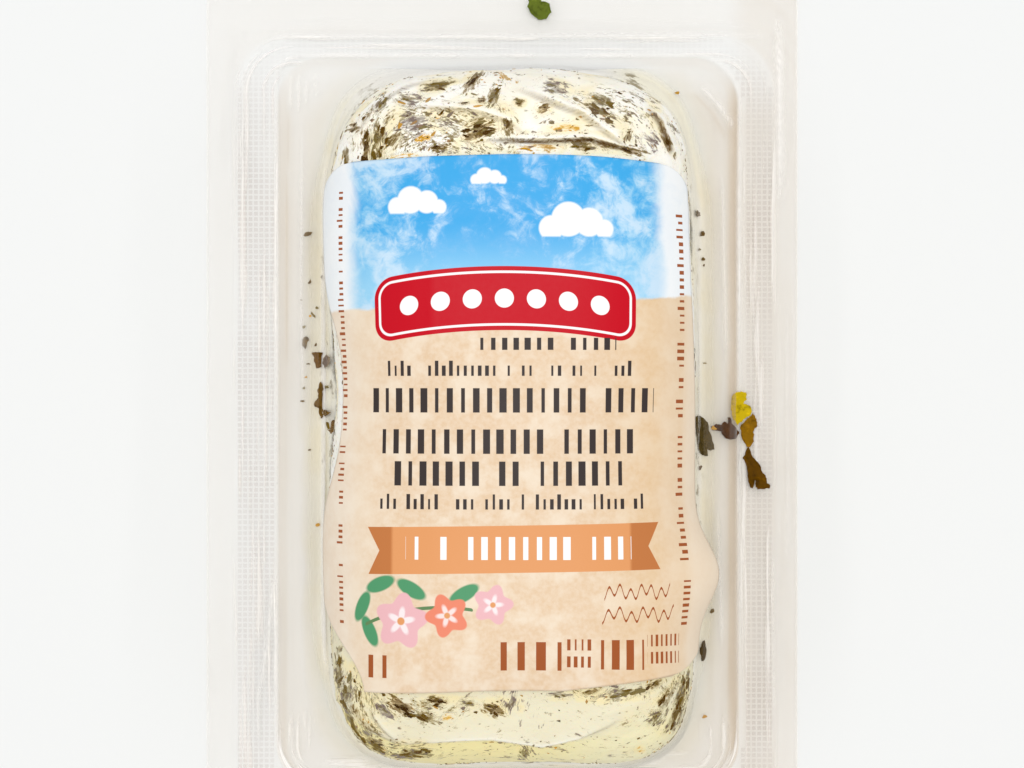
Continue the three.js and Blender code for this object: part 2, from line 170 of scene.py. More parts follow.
def spokes(quarter, side):
    """Spine places and directions, anticlockwise, closest at the corners."""
    steps = np.arange(2 * quarter + 1)
    which = (steps >= quarter).astype(int)
    t = 2 * (steps - which * quarter) / quarter - 1
    fan = (which + 0.5 + 0.5 * np.sign(t) * abs(t) ** CORNER_CROWDING) * math.pi / 2
    along = np.linspace(SPINE, -SPINE, side + 1)[1:-1]
    y = np.concatenate([np.full(fan.size, SPINE), along, np.full(fan.size, -SPINE), -along])
    angle = np.concatenate(
        [fan, np.full(along.size, math.pi), fan + math.pi, np.full(along.size, 2 * math.pi)]
    )
    return y, angle


def ring(rays, distance, z):
    """One point on each spoke, at a distance from the spine and a height."""
    y, angle = rays
    x = BLOCK["x"] + np.cos(angle) * distance
    y = BLOCK["y"] + y + np.sin(angle) * distance
    return np.stack([x, y, np.broadcast_to(z, x.shape)], axis=-1)


def rect_distance(x, y, rect):
    """Below 0 inside a rectangle with round corners, and 0 on its edge."""
    x, y = x - rect["x"], y - rect["y"]
    top_right, top_left, low_left, low_right = rect["corners"]
    upper, lower = np.where(x > 0, top_right, top_left), np.where(x > 0, low_right, low_left)
    r = np.where(y > 0, upper, lower)
    u, v = abs(x) - rect["width"] / 2 + r, abs(y) - rect["length"] / 2 + r
    return np.hypot(np.maximum(u, 0), np.maximum(v, 0)) + np.minimum(np.maximum(u, v), 0) - r


def rect_reach(rays, rect):
    """How far each spoke runs to the edge of a rectangle with round corners."""
    low, high = np.zeros(rays[0].size), np.full(rays[0].size, FAR)
    for _ in range(HALVINGS):
        middle = (low + high) / 2
        at = ring(rays, middle, 0)
        inside = rect_distance(at[:, 0], at[:, 1], rect) < 0
        low, high = np.where(inside, middle, low), np.where(inside, high, middle)
    return low


def turn_share(count):
    """Shares of the half width from just inside the outline to the spine."""
    turn = np.arange(1, count + 1) / count * math.pi / 2
    return np.maximum(np.cos(turn), 0) ** EDGE_CROWDING


print("spokes for a fine ring:", spokes(40, 90)[0].size)

# %% [markdown]
# ## Meshes from rings
# A stack of rings becomes a mesh of quads. The points on the spine fall together in pairs, so
# they are merged. Small relief is a push along each point's own normal.


# %% Mesh helpers
TINY = 1e-6
MERGE_WITHIN = 1e-7
SEED_STEP = 17.31


def unit(vectors, otherwise):
    """Vectors of length one, and another one where the length is nothing."""
    length = np.linalg.norm(vectors, axis=-1, keepdims=True)
    return np.where(length > TINY, vectors / np.maximum(length, TINY), otherwise)


def grid_normals(points, closed):
    """Normals of a grid of points whose rows are rings."""
    if closed:
        around = np.roll(points, -1, axis=1) - np.roll(points, 1, axis=1)
    else:
        around = np.gradient(points, axis=1)
    inward = np.gradient(points, axis=0)
    return unit(np.cross(around, inward), [0.0, 0.0, 1.0])


def push(points, amount, closed=True):
    return points + grid_normals(points, closed) * amount[..., None]


def grid_faces(rows, columns, closed):
    faces = []
    last = columns if closed else columns - 1
    for r in range(rows - 1):
        for i in range(last):
            j = (i + 1) % columns
            a, b = r * columns + i, r * columns + j
            faces.append((a, b, b + columns, a + columns))
    return faces


def new_piece(name, mesh, material=None):
    piece = bpy.data.objects.new(name, mesh)
    bpy.context.scene.collection.objects.link(piece)
    if material:
        mesh.materials.clear()
        mesh.materials.append(material)
    return piece


def plain_mesh(name, points, faces, values=None):
    """Points in millimetres, and values by name, one for each point."""
    mesh = bpy.data.meshes.new(name)
    mesh.from_pydata((np.asarray(points, float).reshape(-1, 3) * MM).tolist(), [], faces)
    for key, value in (values or {}).items():
        store(mesh, key, value)
    mesh.update()
    return mesh


def smoothed(mesh):
    mesh.polygons.foreach_set("use_smooth", [True] * len(mesh.polygons))
    mesh.update()
    return mesh


def ring_mesh(name, points, values=None, outward=True):
    """A smooth mesh from rings, with doubles merged."""
    faces = grid_faces(*points.shape[:2], True)
    faces = faces if outward else [face[::-1] for face in faces]
    mesh = plain_mesh(name, points, faces, values)
    shaped = bmesh.new()
    shaped.from_mesh(mesh)
    bmesh.ops.remove_doubles(shaped, verts=shaped.verts, dist=MERGE_WITHIN)
    bmesh.ops.dissolve_degenerate(shaped, edges=shaped.edges, dist=MERGE_WITHIN / 10)
    shaped.to_mesh(mesh)
    shaped.free()
    return smoothed(mesh)


def store(mesh, key, value):
    """Stores a number or a vector at each point of a mesh."""
    value = np.asarray(value, np.float32)
    vector = value.ndim > 1 and value.shape[-1] == 3
    layer = mesh.attributes.new(key, "FLOAT_VECTOR" if vector else "FLOAT", "POINT")
    layer.data.foreach_set("vector" if vector else "value", value.ravel())


def wobble(points, size, seed=0.0):
    """Smooth noise from -1 to 1 at each point, with lumps of about that size in millimetres."""
    flat = points.reshape(-1, 3) / size + seed * SEED_STEP
    values = [noise.noise(Vector(p)) for p in flat]
    return np.array(values).reshape(points.shape[:-1])


# %% [markdown]
# ## Arithmetic on sockets
# A material is easier to read as a sum than as a list of nodes. One small class wraps a socket
# and turns Python's operators into Math nodes. Every other node comes from one method, which
# takes the node's type, its inputs in order or by name, and its settings.


# %% Wires and graphs
def operator(operation, swapped=False):
    """A method that adds a Math node for a wire and the value beside it."""

    def method(wire, other):
        values = (other, wire) if swapped else (wire, other)
        return wire.graph.math(operation, *values)

    return method


class Wire:
    """A socket that can be used in arithmetic."""

    def __init__(self, graph, socket):
        self.graph = graph
        self.socket = socket

    __add__ = __radd__ = operator("ADD")
    __mul__ = __rmul__ = operator("MULTIPLY")
    __sub__, __rsub__ = operator("SUBTRACT"), operator("SUBTRACT", swapped=True)
    __truediv__, __rtruediv__ = operator("DIVIDE"), operator("DIVIDE", swapped=True)

    def __abs__(self):
        return self.graph.math("ABSOLUTE", self)

    def __neg__(self):
        return self * -1


class Graph:
    """A node tree, with one method that adds any node.

    Inputs come in order, or by name with _ for a space. Settings are in lower case.
    """

    def __init__(self, tree, material=None):
        self.tree = tree
        self.material = material
        tree.nodes.clear()

    @staticmethod
    def find(sockets, key):
        if isinstance(key, int):
            return sockets[key]
        for socket in sockets:
            if socket.name == key and socket.enabled:
                return socket
        return next(s for s in sockets if s.identifier == key)

    def node(self, kind, *values, out=0, **named):
        made = self.tree.nodes.new(kind)
        inputs = dict(enumerate(values))
        for name, value in named.items():
            if name[0].isupper():
                inputs[name.replace("_", " ")] = value
            else:
                setattr(made, name, value)
        for key, value in inputs.items():
            socket = self.find(made.inputs, key)
            if isinstance(value, Wire):
                self.tree.links.new(value.socket, socket)
            else:
                socket.default_value = value
        return Wire(self, self.find(made.outputs, out)) if made.outputs else made

    def math(self, operation, *values, clamp=False):
        return self.node("ShaderNodeMath", *values, operation=operation, use_clamp=clamp)

    def length(self, u, v):
        return self.math("SQRT", u * u + v * v)

    def least(self, *wires):
        found = wires[0]
        for wire in wires[1:]:
            found = self.math("MINIMUM", found, wire)
        return found

    def most(self, *wires):
        found = wires[0]
        for wire in wires[1:]:
            found = self.math("MAXIMUM", found, wire)
        return found

    def clamp(self, wire):
        return self.math("ADD", wire, 0.0, clamp=True)

    def inside(self, distance, edge=0.06):
        """1 where a signed distance is below 0, with an edge that soft."""
        return self.clamp(0.5 - distance / edge)

    def step(self, low, high, wire):
        return self.node("ShaderNodeMapRange", wire, low, high, interpolation_type="SMOOTHSTEP")

    def mix(self, factor, a, b):
        kind = "ShaderNodeMix"
        return self.node(kind, Factor=factor, A=a, B=b, out="Result", data_type="RGBA")

    def ramp(self, stops, factor):
        """A colour from a list of places and colours."""
        found = self.node("ShaderNodeValToRGB", factor)
        elements = found.socket.node.color_ramp.elements
        while len(elements) < len(stops):
            elements.new(0.5)
        for element, (at, colour) in zip(elements, stops):
            element.position = at
            element.color = colour
        return found

    def blend(self, factor, a, b):
        """A mix of two shaders."""
        return self.node("ShaderNodeMixShader", factor, a, b)

    def see_through(self, colour=(1, 1, 1, 1)):
        return self.node("ShaderNodeBsdfTransparent", colour)

    def gloss(self, roughness, **more):
        return self.node("ShaderNodeBsdfGlossy", (1, 1, 1, 1), roughness, **more)

    def noise(self, vector, scale, detail=3.0, roughness=0.5, distortion=0.0):
        return self.node(
            "ShaderNodeTexNoise", Vector=vector, Scale=scale, Detail=detail, Roughness=roughness,
            Distortion=distortion, out="Fac",
        )

    def stored(self, name, out="Fac"):
        """A value that the mesh holds at each point."""
        return self.node("ShaderNodeAttribute", out=out, attribute_name=name)

    def vector(self, x, y, z):
        return self.node("ShaderNodeCombineXYZ", x, y, z)

    def split(self, vector):
        made = self.node("ShaderNodeSeparateXYZ", vector)
        return [Wire(self, socket) for socket in made.socket.node.outputs]

    def spot(self):
        """Object coordinates, in metres."""
        return self.node("ShaderNodeTexCoord", out="Object")


def paint(red, green, blue):
    """A colour as seen, 0 to 255, as the renderer's linear colour."""
    def line(v):
        v = v / 255
        return v / 12.92 if v <= 0.04045 else ((v + 0.055) / 1.055) ** 2.4

    return (line(red), line(green), line(blue), 1.0)


def new_material(name):
    """An empty graph for a new material."""
    material = bpy.data.materials.new(name)
    material.use_nodes = True
    return Graph(material.node_tree, material)


def surface(graph, shader):
    graph.node("ShaderNodeOutputMaterial", Surface=shader)
    return graph.material


def opaque(graph, colour, roughness, shine=0.5, **more):
    """A solid surface: colour, roughness, how strongly it mirrors, and other inputs by name."""
    inputs = dict(Base_Color=colour, Roughness=roughness, Specular_IOR_Level=shine, **more)
    return surface(graph, graph.node("ShaderNodeBsdfPrincipled", **inputs))


def bump(graph, height, strength, distance=0.0002):
    return graph.node("ShaderNodeBump", Height=height, Strength=strength, Distance=distance)


print("helpers ready")

# %% [markdown]
# ## The picture as a guide
# Herbs, folds and leaves are placed where the picture shows them. The camera looks straight down
# from a known height, so a pixel is a fixed size at each level, and a place in the picture turns
# into a place on the pack.

# %% The camera's view of the pack
PICTURE = dict(middle_x=512, middle_y=384, pixel=0.14, camera_z=450.0, x=1.4, y=2.94)


def pixel_size(z):
    return PICTURE["pixel"] * (1 - z / PICTURE["camera_z"])


def seen_at(px, py, z):
    """The place on the pack, in millimetres, that the picture shows at a pixel."""
    x = PICTURE["x"] + (np.asarray(px, float) - PICTURE["middle_x"]) * pixel_size(z)
    y = PICTURE["y"] - (np.asarray(py, float) - PICTURE["middle_y"]) * pixel_size(z)
    return x, y


def rotated(u, v, degrees, x=0.0, y=0.0):
    """A step turned anticlockwise, from a place."""
    c, s = math.cos(math.radians(degrees)), math.sin(math.radians(degrees))
    return x + u * c - v * s, y + u * s + v * c


# %% [markdown]
# ## Folds
# The pocket is a little longer than the block, so spare film gathers into creases at both ends,
# and the soft cheese fills them. Each crease is a line read from the picture. Its crest is sharp,
# with a steep side and a long side, which is what makes a crease look like folded film.

# %% Creases, read from the picture
# Fold crests are painted lighter, a painted highlight; a fold this high gets the full one.
FULL_CREST = 0.6  # A fold this high has a clean, white crest.
# Level, rise, span of the left side and of the right side, strength of the painted shade on the
# steep side, and the line's pixels.
BLOCK_CREASES = [
    (25, 1.1, 2.4, 0.35, 0.45, (512, 84), (545, 100), (583, 117), (612, 138), (634, 152)),
    (25, 0.7, 2.2, 0.8, 0.35, (404, 104), (440, 108), (480, 113), (512, 124), (530, 137)),
    (26, 0.6, 1.6, 0.4, 1.0, (482, 139), (540, 141), (590, 139), (640, 152), (668, 160)),
    (23, 0.8, 1.6, 0.35, 0.75, (648, 104), (661, 122), (670, 144), (677, 168)),
    (20, 0.6, 0.3, 1.0, 0.35, (654, 92), (671, 114), (682, 138), (688, 162)),
    (21, 0.5, 1.4, 0.6, 0.35, (352, 140), (372, 108), (400, 88), (432, 76)),
    (23, 0.4, 0.8, 0.8, 0.35, (384, 92), (398, 116), (404, 140)),
    (21, 0.7, 1.2, 0.4, 0.35, (372, 708), (386, 726), (401, 741)),
    (20, 0.8, 2.4, 0.3, 0.35, (401, 741), (450, 736), (493, 734), (542, 742), (579, 734),
     (606, 722), (622, 712)),
    (16, 0.6, 0.6, 0.6, 0.35, (334, 690), (346, 722), (366, 744), (392, 760)),
    (18, 0.5, 0.5, 0.9, 0.35, (346, 694), (362, 720), (384, 738), (402, 744)),
    (18, 0.55, 0.4, 0.9, 0.35, (648, 728), (664, 704), (676, 678)),
    (16, 0.5, 0.4, 0.9, 0.35, (664, 738), (678, 712), (688, 684)),
    (21, 0.3, 1.0, 1.0, 0.35, (520, 716), (570, 722), (620, 706), (660, 692)),
]


def even(rows):
    """Creases from rows with a level, a rise, one span for both sides, and the line's pixels."""
    return [(z, rise, span, span, 0, *line) for z, rise, span, *line in rows]


# Creases in the film round the block, each with relief and a painted highlight along it.
FLANGE_CREASES = even([
    (1, 0.4, 0.35, (273, 575), (268, 640), (258, 705)),
    (1, 0.35, 0.3, (273, 575), (276, 640), (275, 705)),
    (1, 0.3, 0.3, (258, 680), (258, 745)),
    (2, 0.2, 0.5, (302, 120), (301, 300), (304, 420)),
    (2, 0.25, 0.5, (722, 170), (727, 380)),
    (2, 0.2, 0.4, (717, 500), (722, 650)),
    (1, 0.42, 0.8, (779, 8), (780, 210)),
    (1, 0.2, 0.6, (772, 520), (774, 740)),
    (1, 0.3, 0.45, (212, 36), (400, 37), (792, 35)),
    (1, 0.14, 0.5, (240, 24), (500, 26), (780, 24)),
    (1, 0.2, 0.4, (238, 40), (240, 200)),
    (2, 0.2, 0.2, (291, 74), (291, 108)),
    (2, 0.25, 0.25, (299, 74), (298, 112)),
    (2, 0.2, 0.2, (306, 76), (306, 106)),
    (2, 0.2, 0.2, (314, 74), (317, 98)),
    (2, 0.35, 0.35, (700, 85), (718, 104), (735, 130)),
    (2, 0.22, 0.25, (737, 150), (738, 420), (737, 700)),
    (1, 0.2, 0.3, (787, 300), (788, 560)),
])
# Lines of painted shade in the film; they add tint and no relief.
SHADE_LINES = even([
    (2, 0.6, 0.16, (287, 170), (287, 370)),
    (2, 0.3, 0.2, (289, 110), (288, 170)),
    (2, 0.3, 0.3, (731, 150), (732, 420)),
    (2, 0.25, 0.25, (730, 480), (731, 700)),
    (2, 0.4, 0.25, (692, 92), (712, 112), (727, 140)),
])


def fold_field(x, y, creases):
    """Rise of the folds, their crest on the long side, bare of herbs and painted lighter, and their
    painted shade on the steep one.
    """
    rise, crest, shade = np.zeros((3, *x.shape))
    for z, height, left, right, under, *line in creases:
        path = np.stack(seen_at(*np.array(line, float).T, z), axis=1)
        steps = np.linalg.norm(np.diff(path, axis=0), axis=1)
        runs = np.concatenate([[0], np.cumsum(steps)]) / steps.sum()
        away, along, on_left = np.full(x.shape, 99.0), np.zeros(x.shape), np.ones(x.shape, bool)
        for i, (start, end) in enumerate(zip(path, path[1:])):
            dx, dy = end - start
            u, v = x - start[0], y - start[1]
            t = np.clip((u * dx + v * dy) / (dx * dx + dy * dy), 0, 1)
            far = np.hypot(u - t * dx, v - t * dy)
            nearer = far < away
            away = np.where(nearer, far, away)
            along = np.where(nearer, runs[i] + t * (runs[i + 1] - runs[i]), along)
            on_left = np.where(nearer, dx * v - dy * u > 0, on_left)
        taper = np.sqrt(np.maximum(smooth(0, 0.25, along) * smooth(1.0, 0.75, along), 0))
        profile = taper * np.exp(-away / np.where(on_left, left, right))
        rise = np.maximum(rise, height * profile)
        if left == right:
            continue
        inward = np.where(on_left == (left > right), away, -away)
        lit = profile * smooth(-0.3, 0.15, inward) * min(1, height / FULL_CREST)
        crest = np.maximum(crest, lit)
        shade = np.maximum(shade, under * taper * bell(inward, -0.28, 0.24))
    return rise, crest, shade


print("creases", len(BLOCK_CREASES), "on the block and", len(FLANGE_CREASES), "round it")

# %% [markdown]
# ## Cheese
# Fresh goat cheese is ivory, moist and matt, and lets a little light in. Its herb coat stains it:
# olive and grey where crushed leaf is smeared under the film, amber where oil has soaked in.
# The smears run round the block, so their noise is stretched along a coordinate that does too:
# it is wound on a circle, so that it closes with no seam.

# %% Herb smudges, read from the picture
# Place in the picture, length and width in pixels, turn in degrees, tone and number of slivers.
# Tones run from dark brown at 0 through olive, grey and lilac to amber at 1.
SMUDGES = [
    (353, 126, 12, 8, 20, 0.05, 3), (365, 147, 40, 8, 92, 0.1, 7), (378, 140, 46, 11, 85, 0.3, 8),
    (381, 101, 20, 7, 60, 0.5, 4), (408, 100, 22, 12, -15, 0.6, 6), (439, 84, 26, 9, 8, 0.3, 5),
    (471, 80, 24, 9, 60, 0.15, 5), (507, 78, 16, 6, -35, 0.85, 3), (494, 97, 26, 7, 65, 0.3, 4),
    (482, 102, 6, 5, 0, 0.05, 1), (393, 140, 24, 10, 50, 0.2, 5), (415, 125, 30, 14, 10, 0.7, 6),
    (437, 117, 14, 8, 0, 0.9, 3), (477, 133, 34, 22, 15, 0.1, 10), (440, 150, 20, 7, 5, 0.1, 4),
    (508, 128, 30, 12, -70, 0.2, 6), (425, 140, 24, 8, 15, 0.9, 3),
    (557, 92, 24, 16, -20, 0.65, 6), (544, 109, 9, 7, 20, 0.05, 2),
    (596, 113, 46, 11, -28, 0.25, 9), (603, 101, 24, 8, -20, 0.4, 4),
    (560, 132, 30, 6, 5, 0.9, 4), (610, 147, 68, 8, -14, 0.05, 10), (580, 149, 26, 9, 0, 0.2, 4),
    (627, 137, 16, 6, 75, 0.2, 3), (651, 143, 15, 11, -40, 0.7, 3),
    (667, 137, 26, 6, -70, 0.1, 4), (677, 125, 16, 9, -40, 0.5, 4), (345, 158, 20, 6, 85, 0.3, 3),
    (400, 160, 30, 6, 10, 0.9, 3), (540, 151, 50, 6, 0, 0.85, 4), (520, 104, 7, 5, 10, 0.2, 1),
    (460, 108, 16, 5, 10, 0.5, 3), (338, 672, 36, 7, 85, 0.4, 6), (347, 690, 36, 10, 75, 0.5, 7),
    (350, 722, 44, 9, -65, 0.4, 8), (372, 750, 36, 9, -35, 0.4, 7),
    (384, 708, 22, 7, -40, 0.65, 5), (403, 705, 30, 18, -20, 0.02, 10),
    (425, 714, 28, 8, -20, 0.3, 6), (438, 698, 18, 6, -5, 0.1, 3), (449, 714, 13, 7, 10, 0.9, 3),
    (495, 707, 18, 11, -25, 0.05, 5), (511, 701, 16, 15, 80, 0.65, 4),
    (373, 747, 20, 12, -25, 0.15, 5), (408, 757, 54, 10, 5, 0.35, 7),
    (525, 755, 12, 11, -60, 0.45, 3), (622, 691, 44, 8, 10, 0.5, 7),
    (651, 683, 18, 6, 20, 0.1, 3), (683, 697, 38, 12, 80, 0.3, 8), (664, 697, 24, 7, 50, 0.15, 4),
    (657, 719, 14, 11, 30, 0.45, 3), (678, 718, 30, 9, 75, 0.2, 6), (641, 753, 6, 5, 0, 0.9, 1),
    (560, 692, 20, 4, 5, 0.6, 3), (590, 688, 16, 4, 8, 0.2, 2), (470, 700, 18, 4, 0, 0.4, 2),
]
SMUDGE_LEVEL = 22.0
# Places that are veined between the smudges: pixels, half sizes in pixels and strength.
VEINED = [
    (430, 128, 75, 30, 0.52), (560, 145, 110, 12, 0.38), (620, 108, 50, 22, 0.36),
    (358, 720, 26, 44, 0.52), (420, 706, 50, 14, 0.44), (676, 706, 20, 34, 0.5),
    (610, 692, 60, 7, 0.36), (400, 752, 50, 12, 0.45),
]
LIQUID_EDGE = np.array([
    (330, 700), (372, 730), (401, 743), (450, 738), (493, 736), (542, 744), (579, 735),
    (612, 718), (671, 694), (700, 680),
], float)


def on_top(z):
    """0 on the steep sides and 1 on top, where folds show."""
    return smooth(9, 16, z)


def on_side(z):
    """1 on the steep sides and 0 on top."""
    return 1 - smooth(12, 18, z)


def smudge_field(points, lay):
    """Stain and tone of the crushed herbs, seen from above, and the grain of their smears."""
    x, y = points[..., 0], points[..., 1]
    stain = 0.12 * smooth(-0.35, 0.35, wobble(points, 5.0, 21.0))
    for px, py, half_x, half_y, strength in VEINED:
        cx, cy = seen_at(px, py, SMUDGE_LEVEL)
        half_x, half_y = half_x * PICTURE["pixel"], half_y * PICTURE["pixel"]
        far = ((x - cx) / half_x) ** 4 + ((y - cy) / half_y) ** 4
        stain = np.maximum(stain, strength * np.exp(-far))
    tone, grain = 0.35 + 0.35 * wobble(points, 2.5, 22.0), lay
    size = pixel_size(SMUDGE_LEVEL)
    for i, (px, py, length, width, turn, own_tone, _) in enumerate(SMUDGES):
        cx, cy = seen_at(px, py, SMUDGE_LEVEL)
        u, v = rotated(x - cx, y - cy, -turn)
        reach_u, reach_v = length * size * 0.56 + 0.2, width * size * 0.56 + 0.25
        here = np.exp(-((u / reach_u) ** 2) - (v / reach_v) ** 2) * (0.8 if own_tone > 0.8 else 1)
        stronger = here > stain
        own_grain = np.stack([0.35 * u, v, np.full(x.shape, 5.3 * i)], axis=-1)
        tone = np.where(stronger, own_tone, tone)
        grain = np.where(stronger[..., None], own_grain, grain)
        stain = np.maximum(stain, here)
    return stain, tone, grain


def herb_cover(points, stain):
    """How thickly the fine herbs lie: near the smudges on top, and unevenly on the sides."""
    y, z = points[..., 1], points[..., 2]
    patchy = smooth(-0.3, 0.3, wobble(points, 5.0, 3.0))
    side = on_side(z)
    cover = (0.08 + 0.08 * patchy + 0.4 * stain) * (1 - side)
    cover = np.maximum(cover, side * (0.15 + 0.5 * patchy))
    hidden = smooth(label_low[1] + 2, label_low[1] + 4, y) * smooth(19, 22, z)
    hidden = hidden * (1 - smooth(label_high[1] - 4, label_high[1] - 2, y))
    return cover * smooth(1.0, 2.5, z) * (1 - hidden)


def flow(points):
    """The way a smear runs: round the block, with slow turns."""
    x, y = points[..., 0], points[..., 1]
    step = 0.05
    slope_x = plan_share(x + step, y, 0) - plan_share(x - step, y, 0)
    slope_y = plan_share(x, y + step, 0) - plan_share(x, y - step, 0)
    turn = 0.9 * wobble(points, 9.0, 12.0)
    c, s = np.cos(turn), np.sin(turn)
    along = np.stack([-slope_y * c - slope_x * s, slope_x * c - slope_y * s, 0 * x], axis=-1)
    return unit(along, [1.0, 0.0, 0.0])


# %% Cheese finish
# Dark brown, olive, grey, lilac and amber, from 0 to 1.
HERB_TONES = [
    (0.0, paint(58, 34, 2)), (0.22, paint(88, 60, 6)), (0.42, paint(112, 90, 26)),
    (0.6, paint(126, 114, 74)), (0.74, paint(124, 108, 102)), (0.9, paint(206, 152, 40)),
]
# The same herbs smeared thin.
SOFT_TONES = [
    (0.0, paint(160, 126, 62)), (0.45, paint(148, 132, 76)), (0.7, paint(150, 138, 130)),
    (0.9, paint(232, 188, 84)),
]


def cheese_finish():
    g = new_material("cheese_moist")
    spot = g.spot()
    lay, smear = g.stored("lay", "Vector"), g.stored("grain", "Vector")
    stain, wet, crest, shade, tone = map(g.stored, ("stain", "wet", "crest", "shade", "tone"))
    # On fold crests the herb stain thins, and the cream is painted whiter as a painted highlight.
    clean_and_lit = g.step(0.45, 0.85, crest)
    stain = stain * (1 - 0.85 * clean_and_lit)
    across, along, _ = g.split(spot)
    low_end = g.step(-0.01, -0.03, along)
    soft = g.noise(spot, 110, 4)
    cream = g.mix(g.step(0.35, 0.65, soft), paint(254, 252, 245), paint(253, 248, 233))
    cream = g.mix(low_end * 0.9, cream, paint(229, 221, 190))
    cream = g.mix(clean_and_lit * (0.5 - 0.4 * low_end), cream, paint(255, 253, 244))
    whey = g.mix(g.step(0.002, 0.016, across), paint(240, 227, 164), paint(238, 230, 188))
    cream = g.mix(wet * 0.9, cream, whey)
    streak = g.step(0.34, 0.66, g.noise(smear, 1.0, 4, 0.6, 0.6)) - 0.5
    thin = g.step(0.34, 0.66, g.noise(smear, 2.8, 4, 0.6, 0.6)) - 0.5
    blot = g.step(0.36, 0.64, g.noise(spot, 620, 4, 0.6, 0.8)) - 0.5
    fine = g.noise(lay, 2.0, 5, 0.62, 1.0)
    oil = g.step(0.42, 0.62, g.noise(spot, 170, 3, 0.5, 0.8)) * g.step(0.0, 0.25, stain)
    colour = g.mix(oil * 0.55, cream, paint(244, 226, 166))
    ragged = stain + 0.55 * streak + 0.6 * thin + 0.3 * blot
    halo = g.step(0.34, 0.72, ragged)
    colour = g.mix(halo * 0.75, colour, g.ramp(SOFT_TONES, tone))
    core = g.step(0.66, 0.92, ragged + 0.4 * thin) * (0.5 + 0.5 * g.step(-0.25, 0.2, blot))
    own = g.least(g.clamp(tone + 0.6 * thin + 0.4 * blot), g.most(tone, 0.74))
    colour = g.mix(core * 0.95, colour, g.ramp(HERB_TONES, own))
    # Painted shade along the steep side of each fold.
    colour = g.mix(g.clamp(shade * (0.6 + fine)), colour, paint(84, 58, 16))
    # A painted highlight line along each fold's crest.
    colour = g.mix(g.step(0.8, 1.0, crest) * 0.6, colour, paint(255, 253, 246))
    return opaque(
        g, colour, 0.42 + 0.2 * fine - wet * 0.15, 0.08,
        Normal=bump(g, g.noise(spot, 1300, 3) + fine * 0.6, 0.35),
        Subsurface_Weight=0.15, Subsurface_Radius=(0.002, 0.0014, 0.0008), Subsurface_Scale=1.0,
    )


# %% Cheese block
LAY_STRETCH = 0.4
CREASE_SHARE = 0.9
SUNK_UNDER_WHEY = 0.5
UNDERSIDE_RINGS = 4
SIDE_RINGS = 22


def cheese_points(rays):
    _, angle = rays
    rings = [ring(rays, np.zeros(angle.size), BLOCK["base"])]
    floor_reach = end_reach(angle, 0) * UNDERSIDE
    rings += [
        ring(rays, floor_reach * k / UNDERSIDE_RINGS, BLOCK["base"])
        for k in range(1, UNDERSIDE_RINGS)
    ]
    outline = end_reach(angle, CHEESE_GROWS)
    for turn in np.linspace(0, math.pi / 2, SIDE_RINGS):
        share = UNDERSIDE + (1 - UNDERSIDE) * math.sin(turn) ** 0.8
        drop = max(math.cos(turn), 0.0) ** 0.8
        z = BLOCK["waist"] + (BLOCK["base"] - BLOCK["waist"]) * drop
        rings.append(ring(rays, outline * share, z))
    for share in turn_share(110):
        rings.append(ring(rays, outline * share, dome_height(share, CHEESE_GROWS)))
    return settle(np.stack(rings))


def wound(points):
    """A coordinate that runs round the block on a circle, shrunk so that noise stretches."""
    widest = points[UNDERSIDE_RINGS + SIDE_RINGS - 1]
    steps = np.linalg.norm(np.roll(widest, -1, axis=0) - widest, axis=1)
    run = np.concatenate([[0], np.cumsum(steps)[:-1]])
    radius = steps.sum() / (2 * math.pi)
    angle = run / radius
    across = np.linalg.norm(np.diff(points, axis=0), axis=-1)
    climb = np.concatenate([np.zeros((1, points.shape[1])), np.cumsum(across, axis=0)])
    round_x = np.broadcast_to(radius * np.cos(angle) * LAY_STRETCH, climb.shape)
    round_y = np.broadcast_to(radius * np.sin(angle) * LAY_STRETCH, climb.shape)
    return np.stack([round_x, round_y, climb], axis=-1)


def below_liquid_edge(x, y):
    """1 on the part of the lower end that whey covers."""
    edge_x, edge_y = seen_at(LIQUID_EDGE[:, 0], LIQUID_EDGE[:, 1], 20)
    soft = 1 + 4.5 * smooth(9, 16, x)
    return 1 - smooth(-0.7 * soft, 0.2 * soft, y - np.interp(x, edge_x, edge_y))


def past_label(y):
    """1 where the film shows, and 0 under the middle of the label."""
    return smooth(0.0, 1.0, np.maximum(y - label_high[1], label_low[1] + 1.2 - y))


def cheese_block():
    rays = spokes(130, 50)
    points = cheese_points(rays)
    lay = wound(points)
    x, y, z = points[..., 0], points[..., 1], points[..., 2]
    top = smooth(6, 14, z)
    relief = 0.16 * wobble(points, 5.0, 1.0) + 0.1 * wobble(points, 2.0, 2.0)
    relief = (relief + 0.04 * wobble(points, 0.8, 4.0)) * smooth(0.9, 3, z)
    folded = past_label(y) * on_top(z)
    rise, crest, shade = (field * folded for field in fold_field(x, y, BLOCK_CREASES))
    wet = below_liquid_edge(x, y) * top
    points = push(points, relief + CREASE_SHARE * rise - SUNK_UNDER_WHEY * wet)
    stain, tone, grain = smudge_field(points, lay)
    side = on_side(z) * smooth(-0.05, 0.4, wobble(points, 6.0, 3.0))
    side = 0.55 * side * smooth(1.0, 2.5, z)
    stronger = side > stain * top
    tone = np.where(stronger, 0.4 + 0.3 * wobble(points, 4.0, 15.0), tone)
    grain = np.where(stronger[..., None], lay, grain)
    stain = np.maximum(stain * top, side)
    values = {
        "lay": lay, "stain": stain, "wet": wet, "crest": crest, "shade": shade, "tone": tone,
        "grain": grain, "herb_cover": herb_cover(points, stain), "flow": flow(points),
    }
    return ring_mesh("cheese", points, values)


cheese = new_piece("cheese", cheese_block(), cheese_finish())
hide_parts("cheese_block")
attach(cheese, "root")
print("cheese", len(cheese.data.polygons), "faces")

# %% [markdown]
# ## Herb flakes
# Dried leaf is torn, wrinkled and thin, and no two flakes are alike. A flake is a torn outline
# with an inner ring, and a lift stored at each point says how far it stands off the cheese. The
# larger slivers lie in the smudges that the picture shows and are dropped straight down on the
# cheese. The fine ones are scattered by Geometry Nodes, denser where the cover is thicker.


